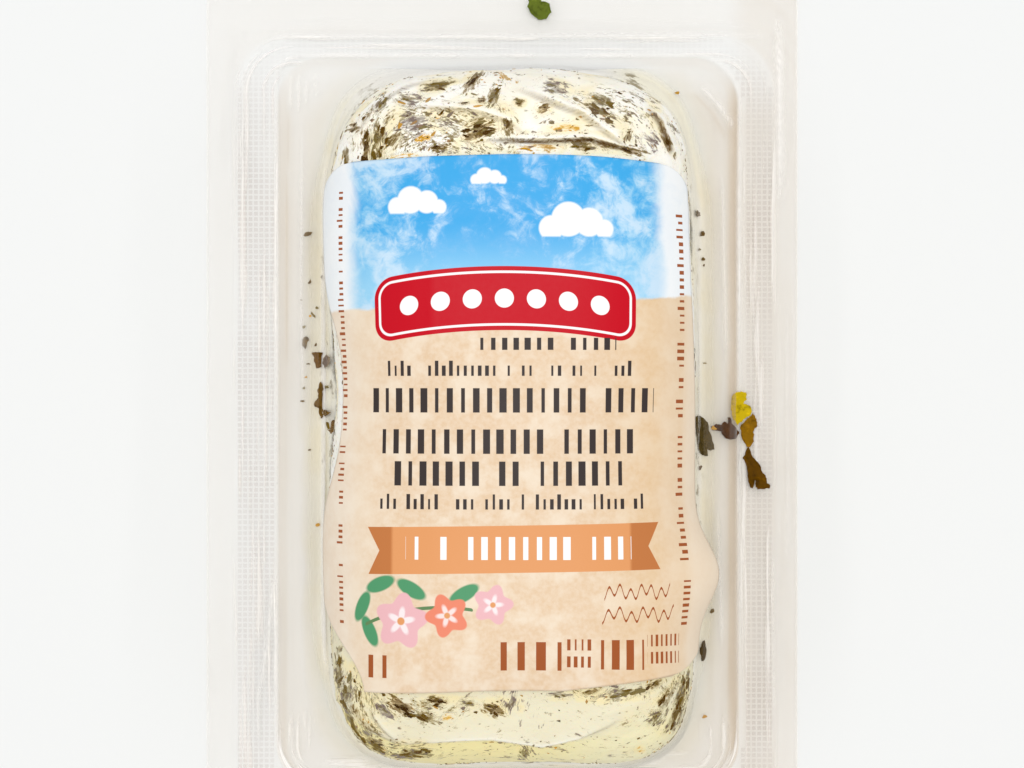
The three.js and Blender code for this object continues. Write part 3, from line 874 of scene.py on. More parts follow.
# %% Flake finish
def flake_finish():
    g = new_material("herb_flake")
    tone, rim = g.stored("tone"), g.stored("rim")
    colour = g.ramp(HERB_TONES, tone)
    mottle = g.noise(g.spot(), 900, 4, 0.6)
    colour = g.mix(g.step(0.5, 0.8, mottle) * 0.4, colour, paint(140, 122, 70))
    torn = g.step(0.75, 1.0, rim + (mottle - 0.5) * 0.9)
    colour = g.mix(torn * 0.3, colour, paint(172, 152, 104))
    return opaque(g, colour, 0.35 + 0.3 * mottle, 0.03, Normal=bump(g, mottle, 0.5))


# %% Flake shape
def flake_shape(rim, stretch, dice):
    """Flat points of a torn leaf one long, its faces, and the lift and rim share of each point."""
    angles = (np.arange(rim) + 0.6 * dice.random(rim)) / rim * 2 * math.pi
    torn = 0.26 + 0.36 * dice.random(rim)
    outline = np.stack([torn * np.cos(angles), torn * np.sin(angles) * stretch], 1)
    inner = outline * (0.5 + 0.12 * dice.random(rim))[:, None]
    top = np.concatenate([[[0, 0]], inner, outline])
    low = len(top)
    flat = np.concatenate([top, [[0, 0]], outline])
    lift = np.concatenate([[0.9], 0.6 + 0.5 * dice.random(rim), 0.3 + 0.5 * dice.random(rim)])
    lift = np.concatenate([lift, [-0.8], lift[1 + rim:] - 0.9])
    edge = np.concatenate([[0], np.full(rim, 0.45), np.ones(rim), [0], np.ones(rim)])
    faces = []
    for i in range(rim):
        j = (i + 1) % rim
        a, b, c, d = 1 + i, 1 + j, 1 + rim + i, 1 + rim + j
        under_c, under_d = low + 1 + i, low + 1 + j
        faces += [(0, a, b), (a, c, d, b), (low, under_d, under_c), (c, under_c, under_d, d)]
    return flat, faces, lift, edge


# %% Slivers in the smudges
ABOVE_ALL = 60.0
SLIVER_THICKNESS = 0.1
SLIVER_RIM = 11
TURN_SPREAD = 14
ON_CREST = 0.6


def drop_on(tree, flat, lift):
    """Points dropped straight down on a surface, each lifted off it by its own amount."""
    placed = []
    for (x, y), rise in zip(flat, lift):
        start = Vector((x * MM, y * MM, ABOVE_ALL * MM))
        hit, normal, _, _ = tree.ray_cast(start, Vector((0, 0, -1)))
        if hit is None:
            return None
        placed.append(np.array(hit + normal * rise * MM) / MM)
    return placed


def joined(name, flakes):
    """One mesh from many flakes, each given by its points, faces, tone and rim shares."""
    points, faces, tones, rims = [], [], [], []
    for placed, shape, tone, edge in flakes:
        faces += [tuple(len(points) + i for i in face) for face in shape]
        points += list(placed)
        tones += [tone] * len(placed)
        rims += list(edge)
    return plain_mesh(name, points, faces, {"tone": tones, "rim": rims})


def on_clean_crest(x, y):
    """Says whether a place lies on a crest that has no herbs."""
    crest = fold_field(np.array([x]), np.array([y]), BLOCK_CREASES)[1][0]
    return crest > ON_CREST and past_label(y) > 0.5


def smudge_slivers(cheese_mesh, seed=12):
    tree = BVHTree.FromObject(cheese_mesh, bpy.context.evaluated_depsgraph_get())
    dice = np.random.default_rng(seed)
    size = pixel_size(SMUDGE_LEVEL)
    for px, py, length, width, turn, tone, count in SMUDGES:
        cx, cy = seen_at(px, py, SMUDGE_LEVEL)
        for _ in range((2 * count + 1) // 3):
            flat, shape, lift, edge = flake_shape(SLIVER_RIM, dice.uniform(0.18, 0.5), dice)
            long = min(max(0.4, length * size * dice.uniform(0.15, 0.5)), 1.6)
            long = long * 0.6 if tone > 0.8 else long
            u = (dice.random() - 0.5) * max(length * size - long * 0.7, 0.1)
            v = (dice.random() - 0.5) * width * size * 0.8
            own_turn = turn + dice.normal(0, TURN_SPREAD)
            local_x, local_y = (flat * long).T
            bent = local_y + 0.12 * local_x**2 * dice.uniform(-1, 1)
            x, y = rotated(local_x, bent, own_turn, *rotated(u, v, turn, cx, cy))
            if on_clean_crest(x[0], y[0]):
                continue
            own_tone = float(np.clip(tone + dice.normal(0, 0.07), 0, 0.95))
            placed = drop_on(tree, np.stack([x, y], 1), lift * SLIVER_THICKNESS)
            if placed is not None:
                yield placed, shape, own_tone, edge


leaf_green = flake_finish()
slivers = new_piece("herb_slivers", joined("herb_slivers", smudge_slivers(cheese)), leaf_green)
print("slivers", len(slivers.data.polygons), "faces")


# %% Flake prototypes
def prototypes(count, rims, stretches, seed):
    """A shelf of different flakes, one millimetre long, for the scatter to pick from."""
    dice = np.random.default_rng(seed)
    shelf = bpy.data.collections.new(f"shelf_{seed}")
    bpy.context.scene.collection.children.link(shelf)
    for i in range(count):
        rim, stretch = rims[i % len(rims)], stretches[i % len(stretches)]
        flat, faces, lift, edge = flake_shape(rim, stretch, dice)
        level = np.column_stack([flat, 0.05 * lift])
        mesh = plain_mesh(f"proto_{seed}_{i}", level, faces, {"lift": lift, "rim": edge})
        shelf.objects.link(bpy.data.objects.new(mesh.name, mesh))
    return shelf


# %% The scatter tree
SCATTER_INPUTS = (
    ("Flakes per square metre", "Float"), ("Smallest", "Float"), ("Largest", "Float"),
    ("Thickness", "Float"), ("Seed", "Int"), ("Flakes", "Collection"), ("Finish", "Material"),
)


def tree_with_inputs(name, inputs):
    """An empty tree from mesh to mesh with named inputs, as a graph and its input wires."""
    tree = bpy.data.node_groups.new(name, "GeometryNodeTree")
    g = Graph(tree)
    for label, kind in (("Mesh", "Geometry"), *inputs):
        tree.interface.new_socket(label, in_out="INPUT", socket_type="NodeSocket" + kind)
    tree.interface.new_socket("Mesh", in_out="OUTPUT", socket_type="NodeSocketGeometry")
    given = g.node("NodeGroupInput")
    return tree, g, {s.name: Wire(g, s) for s in given.socket.node.outputs}


def scatter_tree(name):
    """Flakes over a mesh: distributed, turned, sized, laid down on it and joined."""
    tree, g, named = tree_with_inputs(name, SCATTER_INPUTS)
    mesh, seed = named["Mesh"], named["Seed"]

    def held(name, kind="FLOAT"):
        node = "GeometryNodeInputNamedAttribute"
        return g.node(node, Name=name, out="Attribute", data_type=kind)

    def draw(low, high, offset):
        node = "FunctionNodeRandomValue"
        return g.node(node, Min=low, Max=high, Seed=seed + offset, out="Value", data_type="FLOAT")

    cover = held("herb_cover")
    density = cover * cover * named["Flakes per square metre"]
    points = g.node(
        "GeometryNodeDistributePointsOnFaces", Mesh=mesh, Density=density, Seed=seed, out="Points"
    )
    normal = Wire(g, points.socket.node.outputs["Normal"])
    upright = g.node(
        "FunctionNodeAxesToRotation", normal, held("flow", "FLOAT_VECTOR"),
        primary_axis="Z", secondary_axis="X",
    )
    spin = g.node("FunctionNodeAxisAngleToRotation", (0, 0, 1), draw(-0.9, 0.9, 1))
    rotation = g.node("FunctionNodeRotateRotation", upright, spin, rotation_space="LOCAL")
    lot = draw(0.0, 1.0, 2)
    size = named["Smallest"] + (named["Largest"] - named["Smallest"]) * lot * lot * lot
    flakes = g.node(
        "GeometryNodeCollectionInfo", named["Flakes"], Separate_Children=True, Reset_Children=True
    )
    placed = g.node(
        "GeometryNodeInstanceOnPoints", Points=points, Instance=flakes, Pick_Instance=True,
        Rotation=rotation, Scale=size,
    )
    toned = g.node(
        "GeometryNodeStoreNamedAttribute", Geometry=placed, Name="tone",
        Value=draw(0.0, 0.95, 3), data_type="FLOAT", domain="INSTANCE",
    )
    real = g.node("GeometryNodeRealizeInstances", toned)
    near = g.node("GeometryNodeProximity", mesh, out="Position", target_element="FACES")
    up = g.node(
        "GeometryNodeSampleNearestSurface", Mesh=mesh, Value=g.node("GeometryNodeInputNormal"),
        Sample_Position=g.node("GeometryNodeInputPosition"), out="Value",
        data_type="FLOAT_VECTOR",
    )
    lift = held("lift") * named["Thickness"]
    raised = g.node("ShaderNodeVectorMath", up, Scale=lift, operation="SCALE")
    laid = g.node("GeometryNodeSetPosition", real, Position=near, Offset=raised)
    done = g.node("GeometryNodeSetMaterial", laid, Material=named["Finish"])
    g.node("NodeGroupOutput", Mesh=done)
    return tree


def run_tree(tree, mesh, name, values):
    """Runs a tree on a mesh and returns the result as a plain piece."""
    carrier = new_piece(name + "_carrier", mesh)
    modifier = carrier.modifiers.new("grow", "NODES")
    modifier.node_group = tree
    for item in tree.interface.items_tree:
        if item.in_out == "INPUT" and item.name in values:
            modifier[item.identifier] = values[item.name]
    graph = bpy.context.evaluated_depsgraph_get()
    graph.update()
    result = bpy.data.meshes.new_from_object(
        carrier.evaluated_get(graph), preserve_all_data_layers=True, depsgraph=graph
    )
    bpy.data.objects.remove(carrier)
    result.name = name
    return new_piece(name, result)


# %% Fine herbs over the block
scatter = scatter_tree("scatter_flakes")
flake_shelf = prototypes(8, (7, 8), (0.3, 0.5, 0.75), seed=5)
crumb_shelf = prototypes(4, (4, 5), (0.6, 0.9), seed=6)
both = {"Thickness": 0.00008, "Finish": leaf_green}
herbs = run_tree(scatter, cheese.data, "herb_flakes", both | {
    "Flakes per square metre": 1200000.0, "Smallest": 0.3, "Largest": 1.5,
    "Seed": 4, "Flakes": flake_shelf,
})
crumbs = run_tree(scatter, cheese.data, "herb_crumbs", both | {
    "Flakes per square metre": 3000000.0, "Smallest": 0.16, "Largest": 0.7,
    "Seed": 9, "Flakes": crumb_shelf,
})
for piece in (slivers, herbs, crumbs):
    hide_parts("cheese_block")
    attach(piece, "root")
    print(piece.name, len(piece.data.polygons), "faces")
for shelf in (flake_shelf, crumb_shelf):
    for piece in list(shelf.objects):
        bpy.data.objects.remove(piece)
    bpy.data.collections.remove(shelf)

# %% [markdown]
# ## Clear film
# The film hardly shows: it is seen by its highlights, by a faint warm veil where two films lie
# over the table, and by the pattern pressed into its seal. A sheet of one thickness is enough,
# with a mix of see-through, veil and gloss, and the gloss grows at a slant.
# Its folds, sharp bends and cut edge carry painted highlights: white lines in the veil.
# Painted shade darkens the film's right side and a few lines in it.


# %% Film finish
FILM_TINT = (0.915, 0.867, 0.81, 1)
CLEAR_GLOSS = 0.003
GLANCING_GLOSS = 0.12
BLOCK_PLAN = dict(
    x=BLOCK["x"], y=BLOCK["y"], width=2 * BLOCK["half_width"] + 5,
    length=2 * BLOCK["half_length"] + 5, corners=(14, 14, 14, 14),
)


def rect_field(g, x, y, rect):
    """The signed distance to a rectangle with round corners, in the graph."""
    r = sum(rect["corners"]) / 4
    u = abs(x - rect["x"]) - (rect["width"] / 2 - r)
    v = abs(y - rect["y"]) - (rect["length"] / 2 - r)
    corner = g.length(g.most(u, 0.0), g.most(v, 0.0))
    return corner + g.least(g.most(u, v), 0.0) - r


def slant(g, face_on):
    """A mirror share that is low face on and grows at a glancing view."""
    facing = g.node("ShaderNodeLayerWeight", Blend=0.5, out="Facing")
    return g.clamp(face_on + (GLANCING_GLOSS - face_on) * g.math("POWER", facing, 5.0))


def film_finish(name, margin, seal, moat, gloss):
    """Tinted shares for the margin, the seal band and the moat, and the mirror share."""
    g = new_material(name)
    spot = g.spot()
    x, y, _ = [wire * 1000 for wire in g.split(spot)]
    to_seal = rect_field(g, x, y, SEAL)
    in_seal = g.inside(to_seal, 0.8)
    to_cavity = rect_field(g, x, y, CAVITY)
    in_cavity = g.inside(to_cavity, 0.4)
    on_block = g.inside(rect_field(g, x, y, BLOCK_PLAN), 2.0)
    # Painted highlight along the film's cut edge.
    cut_edge = g.step(-0.45, -0.1, rect_field(g, x, y, PACK))
    # Streaks run along the band, so their noise moves fast across it and slowly along it.
    streak = g.noise(g.vector(to_seal, x * 0.04, y * 0.04), 1.1, 3, 0.6)
    cloudy = g.noise(spot, 70, 3)
    rim = in_cavity * (1 - g.inside(to_cavity + 1.4, 0.5))
    share = margin + in_seal * (seal - margin) + in_cavity * (moat - seal) + rim * 0.12
    share = share * (1 - on_block) * (0.3 + 0.7 * cloudy + 0.7 * streak)
    share = share * (1 - 0.6 * g.step(38.0, 48.0, y) * in_seal)
    # Painted shade: the tint grows towards the right of the seal, margin and moat, as in the
    # block's shadow.
    share = share * (1 + 3.6 * g.step(31.0, 34.8, x) * (0.47 + 0.53 * in_seal))
    share = share * (1 + 0.4 * g.step(20.0, 27.0, x) * in_cavity)
    # Painted shade lines in the film.
    share = share + g.stored("darkened") * 1.6
    fine = g.noise(spot, 700, 2)
    ripple = bump(g, g.noise(spot, 90, 2) + 0.15 * fine + 0.4 * streak * in_seal, 0.12, 0.0012)
    shine = g.gloss(0.06 + 0.14 * in_seal, Normal=ripple)
    veil = g.node("ShaderNodeBsdfDiffuse", paint(255, 252, 248), Normal=ripple)
    body = g.blend(g.clamp(share), g.see_through(), g.see_through(FILM_TINT))
    lines = g.step(0.52, 0.66, streak) * in_seal * (1 - in_cavity) * 0.4
    # Painted highlights of fine folds run round the lower corners of the moat, where the pocket was
    # drawn in; the folds have no relief.
    bend = g.vector(to_cavity, x * 0.08, y * 0.08)
    drawn = g.step(0.5, 0.66, g.noise(bend, 1.9, 2, 0.5)) * in_cavity * (1 - on_block)
    lines = lines + drawn * g.step(-42.0, -46.0, y) * g.step(-6.0, -4.0, to_cavity) * 0.4
    # Painted highlights along the flange creases, the fold crests, the cavity's edge and the
    # pocket's foot.
    whitened = g.stored("whitened") * (0.4 + 0.6 * fine)
    # The white veil shows the film's own haze, and also carries the painted highlights.
    haze_and_highlight = g.clamp(0.05 * share + 0.1 * cut_edge + lines + whitened)
    body = g.blend(haze_and_highlight, body, veil)
    return surface(g, g.blend(slant(g, gloss), body, shine))


# %% [markdown]
# ## The formed film
# The film is one sheet of rings: a flat margin and seal, a raised rim round the cavity, a shallow
# moat, and the pocket up and over the block.

# %% Formed film
FILM_FOOT = dict(out=2.5, drawn_in=1.2, z=1.8)
FILM_LOWER = dict(out=1.5, drawn_in=0.4, z=4.6)
FLANGE_LEVEL = 0.9
FLANGE_TOP = 4
RIDGE_LEVEL = 2.5
RIDGE_WIDTH = 1.1
RIDGE_SLOPE = 0.3
MOAT_LEVEL = 2.0
MOAT_LEAST = 0.5
SHELF_LEAST = 0.15


def film_edge_highlights(x, y, z):
    """Painted highlights where the film is bent sharply: round the cavity and at the pocket's foot.
    """
    patchy = 0.4 + 0.6 * smooth(-0.3, 0.4, wobble(np.stack([x, y * 0.12, z], -1), 4.0, 16.0))
    outer = bell(rect_distance(x, y, CAVITY), 0.1, 0.35) * (z < FLANGE_TOP)
    foot = bell(out_from_block(x, y), 1.75, 0.4) * (z < 12) * (0.5 + 0.5 * patchy)
    foot = foot * (1 - smooth(30, 38, abs(y - BLOCK["y"]))) * (1 - 0.65 * smooth(0, 10, x))
    return 0.6 * outer * patchy + foot


def near_end(rays):
    """1 round both ends of the block, where the pocket is drawn in close to it."""
    y = ring(rays, end_reach(rays[1], 0), 0)[:, 1] - BLOCK["y"]
    return smooth(26, 39, abs(y))


def film_points(rays):
    _, angle = rays
    pack, seal, cavity = (rect_reach(rays, r) for r in (PACK, SEAL, CAVITY))
    ridge = cavity - RIDGE_WIDTH
    waist = end_reach(angle, FILM_GROWS)
    closer = near_end(rays)

    def out_by(place):
        return end_reach(angle, place["out"] - place["drawn_in"] * closer)

    foot = np.minimum(out_by(FILM_FOOT), ridge - MOAT_LEAST)
    lower = np.minimum(out_by(FILM_LOWER), foot - SHELF_LEAST)
    slope = ridge + (foot - ridge) * RIDGE_SLOPE
    rings = []

    def between(a, b, z_a, z_b, count, curve=lambda t: t, soft=False):
        """Rings from one reach and level to another."""
        for t in np.arange(count) / count:
            points = ring(rays, a + (b - a) * t, z_a + (z_b - z_a) * curve(t))
            rings.append(settle(points) if soft else points)

    def rounded(t):
        return float(smooth(0, 1, t))

    between(pack, seal, FLANGE_LEVEL, FLANGE_LEVEL, 12)
    between(seal, cavity, FLANGE_LEVEL, FLANGE_LEVEL, 22)
    between(cavity, ridge, FLANGE_LEVEL, RIDGE_LEVEL, 9, rounded)
    between(ridge, slope, RIDGE_LEVEL, MOAT_LEVEL, 14, rounded)
    between(slope, foot, MOAT_LEVEL, FILM_FOOT["z"], 24)
    between(foot, lower, FILM_FOOT["z"], FILM_LOWER["z"], 7, lambda t: t**1.8, soft=True)
    between(lower, waist, FILM_LOWER["z"], BLOCK["waist"], 10, soft=True)
    for share in np.concatenate([[1.0], turn_share(72)]):
        rings.append(settle(ring(rays, waist * share, dome_height(share, FILM_GROWS))))
    return np.stack(rings)


def formed_film():
    rays = spokes(64, 120)
    points = film_points(rays)
    x, y, z = points[..., 0], points[..., 1], points[..., 2]
    top = on_top(z)
    folded = past_label(y) * top
    block_rise, crest, _ = fold_field(x, y, BLOCK_CREASES)
    flange_rise = fold_field(x, y, FLANGE_CREASES)[0] * (z < FLANGE_TOP)
    rise = block_rise * folded + flange_rise - 0.3 * below_liquid_edge(x, y) * top
    # Painted highlights: white lines along the flange creases, the fold crests and the sharp bends.
    whitened = 2.0 * flange_rise + 0.14 * crest**2 * folded + film_edge_highlights(x, y, z)
    ripple = 0.08 * wobble(points, 2.6, 5.0) * folded
    moat = 0.05 * wobble(points, 4.0, 13.0) * smooth(1.2, 2, z) * (1 - top)
    wall = 0.12 * wobble(points * [1, 1, 0.15], 2.2, 7.0) * smooth(2.2, 6, z) * (1 - top)
    points = push(points, rise + ripple + moat + wall)
    outside = smooth(0, 3, rect_distance(x, y, SEAL))
    points[..., 2] += outside * 0.25 * wobble(points, 14, 6.0)
    points = ear(points, EAR["film"])
    # Painted shade lines, which add tint and no relief.
    darkened = fold_field(x, y, SHADE_LINES)[0] * (z < FLANGE_TOP)
    return ring_mesh("formed_film_sheet", points, {"whitened": whitened, "darkened": darkened})


clear_finish = film_finish("film_clear", margin=0.11, seal=0.08, moat=0.27, gloss=CLEAR_GLOSS)
film = new_piece("formed_film_sheet", formed_film(), clear_finish)
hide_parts("formed_film")
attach(film, "root")
print("formed film", len(film.data.polygons), "faces")


# %% Back film
BACK_LEVEL = 0.2


def back_film():
    rays = spokes(40, 60)
    edge = rect_reach(rays, PACK)
    points = np.stack([ring(rays, edge * k, BACK_LEVEL) for k in np.linspace(1, 0, 20)])
    outside = smooth(0, 3, rect_distance(points[..., 0], points[..., 1], SEAL))
    points[..., 2] += 0.12 * outside * wobble(points, 11, 8.0)
    return ring_mesh("back_film_sheet", points)


back_finish = film_finish("film_back", margin=0.11, seal=0.075, moat=0.22, gloss=0.001)
back = new_piece("back_film_sheet", back_film(), back_finish)
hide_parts("back_film")
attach(back, "root")
print("back film", len(back.data.polygons), "faces")

# %% [markdown]
# ## Knurl of the seal
# The heated bar presses a grid of small squares into the two films. It repeats thousands of
# times, so Geometry Nodes make it: a grid of points, kept only inside the seal band, with a low
# pyramid on each, joined into one mesh.

# %% Knurl tree
KNURL_INPUTS = (
    ("Pitch", "Float"), ("Height", "Float"), ("Level", "Float"), ("Finish", "Material"),
)
KNURL_MARGIN = 0.7
KNURL_TINT = (0.958, 0.946, 0.94, 1)


def knurl_tree():
    tree, g, named = tree_with_inputs("seal_knurl", KNURL_INPUTS)
    pitch = named["Pitch"]
    width, length = SEAL["width"] * MM, SEAL["length"] * MM
    across, along = g.math("ROUND", width / pitch), g.math("ROUND", length / pitch)
    grid = g.node("GeometryNodeMeshGrid", width, length, across, along, out="Mesh")
    seat = g.vector(SEAL["x"] * MM, SEAL["y"] * MM, named["Level"])
    grid = g.node("GeometryNodeSetPosition", grid, Offset=seat)
    x, y, _ = [wire * 1000 for wire in g.split(g.node("GeometryNodeInputPosition"))]
    to_cavity, to_seal = rect_field(g, x, y, CAVITY), rect_field(g, x, y, SEAL)
    in_band = g.least(to_cavity - KNURL_MARGIN, -KNURL_MARGIN - to_seal)
    outside = g.math("LESS_THAN", in_band, 0.0)
    grid = g.node("GeometryNodeDeleteGeometry", grid, outside, domain="POINT")
    cone = g.node(
        "GeometryNodeMeshCone", Vertices=4, Radius_Top=pitch * 0.4, Radius_Bottom=pitch * 0.5,
        Depth=named["Height"], out="Mesh", fill_type="NGON",
    )
    square = g.node("GeometryNodeTransform", Geometry=cone, Rotation=(0, 0, math.pi / 4))
    stood = g.node("GeometryNodeInstanceOnPoints", Points=grid, Instance=square)
    real = g.node("GeometryNodeRealizeInstances", stood)
    done = g.node("GeometryNodeSetMaterial", real, Material=named["Finish"])
    g.node("NodeGroupOutput", Mesh=done)
    return tree


def knurl_finish():
    g = new_material("film_knurl")
    spot = g.spot()
    patch = g.step(0.35, 0.7, g.noise(spot, 60, 2))
    fading = 1 - 0.8 * g.step(0.042, 0.05, g.split(spot)[1])
    share = (0.35 + 0.65 * patch) * fading
    body = g.blend(share, g.see_through(), g.see_through(KNURL_TINT))
    return surface(g, g.blend(slant(g, CLEAR_GLOSS), body, g.gloss(0.22)))


knurl = run_tree(knurl_tree(), back.data.copy(), "seal_knurl", {
    "Pitch": 0.00075, "Height": 0.0001, "Level": 0.00092, "Finish": knurl_finish(),
})
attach(knurl, "root")
print("knurl", len(knurl.data.polygons), "faces")

# %% [markdown]
# ## Whey and oil in the moat
# Yellow whey has seeped out round the foot of the block. It is a thin pool between the films, and
# next to the block soft cheese smeared by the film fills the narrow gap up to the waist. One sheet
# is enough for its surface. Values stored at each point say how deep the whey is and how much
# cream is in it.


# %% Whey pool
WHEY_TINT = (1.0, 0.984, 0.91, 1)
SHORE = 5.2
SHORE_LEAST = 4.7
CAVITY_INSET = 1.9
# Distance out from the block, level, depth and cream, from the pool's shore up the block.
WHEY_SECTION = [
    (None, 0.6, 0, 0), (4.1, 0.7, 0.5, 0.15), (3.5, 0.8, 0.65, 0.4), (2.9, 1.05, 0.8, 0.6),
    (2.4, 1.4, 1, 0.85), (2.0, 2.0, 1, 1), (1.5, 3.4, 1, 0.95), (1.05, 5.4, 1, 0.7),
    (0.6, 7.4, 1, 0.36), (0.1, 8.8, 1, 0.1), (-0.5, 9.2, 1, 0), (-1.5, 8.6, 1, 0),
]


def whey_finish():
    g = new_material("whey_oily")
    spot = g.spot()
    depth, smear = g.stored("depth"), g.stored("smear")
    patch = g.step(0.3, 0.7, g.noise(spot, 180, 3))
    across, along, level = g.split(spot)
    fillet = g.mix(patch, paint(254, 251, 240), paint(253, 247, 226))
    pool = g.mix(patch, paint(253, 248, 231), paint(252, 243, 217))
    tinted = g.mix(g.step(0.0011, 0.0022, level), pool, fillet)
    pale = g.step(0.041, 0.047, along) * (1 - g.step(0.014, 0.02, across))
    tinted = g.mix(pale, tinted, paint(254, 252, 247))
    buttery = g.step(0.012, 0.019, across) * g.step(0.028, 0.038, along)
    tinted = g.mix(buttery * 0.8, tinted, paint(255, 250, 229))
    herb = g.step(0.56, 0.66, g.noise(spot, 420, 4, 0.6)) * g.step(0.46, 0.6, g.noise(spot, 90, 2))
    herb = herb * g.step(0.0009, 0.0024, level)
    tinted = g.mix(herb * 0.75, tinted, paint(124, 104, 46))
    cream = g.node("ShaderNodeBsdfDiffuse", tinted)
    share = g.clamp(depth * (0.7 + 0.5 * patch))
    body = g.blend(share, g.see_through(), g.see_through(WHEY_TINT))
    torn = g.step(0.2, 0.62, smear + 1.1 * (g.noise(spot, 240, 5, 0.65) - 0.5))
    covered = smear + (torn - smear) * g.step(0.0022, 0.004, level)
    body = g.blend(g.clamp(covered * 0.92), body, cream)
    return surface(g, g.blend(g.clamp(depth * 0.006), body, g.gloss(0.1)))


def whey_pool():
    rays = spokes(60, 110)
    _, angle = rays
    base = ring(rays, end_reach(angle, 3), 1.0)
    wet_side = 1 - smooth(20, 34, base[:, 1])
    shore = SHORE + 1.2 * wobble(base, 7.0, 9.0) + 0.3 * wobble(base, 2.5, 10.0)
    shore = np.maximum(shore, SHORE_LEAST)
    drawn_in = 1 - 0.45 * near_end(rays)
    # Soft cheese fills the upper corner on the right up to the block's edge.
    filled = smooth(16, 24, base[:, 0]) * smooth(28, 38, base[:, 1])
    limit = rect_reach(rays, CAVITY) - CAVITY_INSET
    rings, depth, smear = [], [], []
    for out, z, deep, cream in WHEY_SECTION:
        out = shore if out is None else out * (drawn_in if out > 0 else 1)
        reach = np.minimum(end_reach(angle, out), limit - 0.1 * z)
        rings.append(settle(ring(rays, reach, z)))
        depth.append(deep * (0.5 + 0.5 * wet_side))
        smear.append(cream + filled * max(0.9 - cream, 0) * smooth(1.2, 3.0, z))
    points = np.stack(rings)
    values = {"depth": np.stack(depth), "smear": np.stack(smear)}
    return ring_mesh("whey_pool", points, values, outward=False)


whey = new_piece("whey_pool", whey_pool(), whey_finish())
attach(whey, "root")
print("whey", len(whey.data.polygons), "faces")

# %% [markdown]
# ## Loose leaves
# Some leaf has drifted into the moat, and a few larger pieces lie pressed over the right-hand
# seal. Each outline is read from the picture, filled, divided and given a ripple and a thickness.

# %% Leaf outlines in the picture
LOOSE_LEAVES = {
    # Height in millimetres, the leaf's colour, and its outline's pixels.
    "leaf_by_label": (1.1, (92, 76, 36), [
        (694, 416), (700, 416), (704, 419), (708, 424), (710, 433), (713, 441), (715, 449),
        (711, 450), (707, 449), (708, 456), (702, 455), (698, 450), (696, 438)]),
    "leaf_fingered": (1.2, (84, 48, 4), [
        (711, 427), (716, 424), (722, 425), (724, 421), (728, 424), (728, 417), (731, 418),
        (732, 423), (739, 432), (736, 438), (731, 440), (725, 437), (721, 431), (713, 430)]),
    "petal_yellow": (1.35, (214, 184, 18), [
        (732, 396), (736, 393), (741, 391.5), (745.5, 392.5), (746.5, 399), (743, 404),
        (750, 405.5), (752, 411), (750, 415), (743, 420), (737.5, 425), (733, 419.5), (731, 409)]),
    "leaf_amber": (1.3, (146, 104, 12), [
        (740.5, 425.5), (745, 421), (750, 416), (753, 413.5), (756.5, 419), (757, 426),
        (753.5, 432), (754, 441), (750, 447), (747, 447), (741, 436)]),
    "leaf_long": (1.3, (98, 64, 2), [
        (748, 446), (753, 457), (760, 465), (763, 473), (767, 479), (767, 483), (771, 486),
        (767, 489), (758, 489), (756, 487), (755, 480), (753, 488), (750, 488), (748, 479),
        (747, 467), (743, 458)]),
    "leaf_left_top": (1.1, (112, 84, 16), [
        (302, 339), (306, 336), (309, 338), (308, 343), (305, 349), (302, 346)]),
    "leaf_left_square": (1.2, (116, 80, 20), [
        (312, 352), (324, 353), (322, 357), (322, 367), (317, 368), (315, 363), (314, 356)]),
    "leaf_left_long": (1.3, (122, 90, 36), [
        (321, 382), (325, 386), (323, 399), (323, 409), (330, 411), (333, 413), (328, 415),
        (322, 418), (319, 412), (320, 408), (315, 407), (314, 403), (319, 397), (318, 390)]),
    "leaf_left_low": (1.4, (120, 86, 28), [
        (335, 419), (338, 421), (336, 431), (334, 433), (330, 429), (333, 428)]),
    "leaf_right_low": (1.2, (84, 66, 34), [
        (702, 642), (705, 641), (706, 648), (705, 660), (702, 661), (700, 650)]),
    "leaf_top_margin": (1.2, (104, 118, 40), [
        (529, -2), (540, 0), (549, 4), (551, 12), (546, 19), (538, 20), (531, 14), (528, 6)]),
}


# Distance out from the block, and the level between the fillet of cream and the film.
FILLET_COVER = np.array([
    (1.05, 8.0), (1.3, 5.8), (1.5, 4.0), (1.8, 2.9), (2.1, 2.15), (2.5, 1.6), (2.9, 1.4),
    (3.5, 1.25), (4.0, 0),
]).T


def lying_level(x, y, z):
    """The level of a thing that lies in the moat, or climbs the foot of the pocket."""
    return np.maximum(z, np.interp(out_from_block(x, y), *FILLET_COVER))


def leaf_finish(name, tint):
    g = new_material(name + "_finish")
    mottle = g.noise(g.spot(), 1100, 4, 0.6)

    def shade(share):
        return tuple(min(c * share, 1) for c in paint(*tint)[:3]) + (1.0,)

    colour = g.mix(g.step(0.3, 0.5, mottle), shade(0.4), shade(0.8))
    colour = g.mix(g.step(0.55, 0.8, mottle), colour, shade(1.3))
    return opaque(g, colour, 0.3 + 0.25 * mottle, 0.02, Normal=bump(g, mottle, 0.4))


LEAF_THICKNESS = 0.18
LEAF_RIPPLE = 0.2


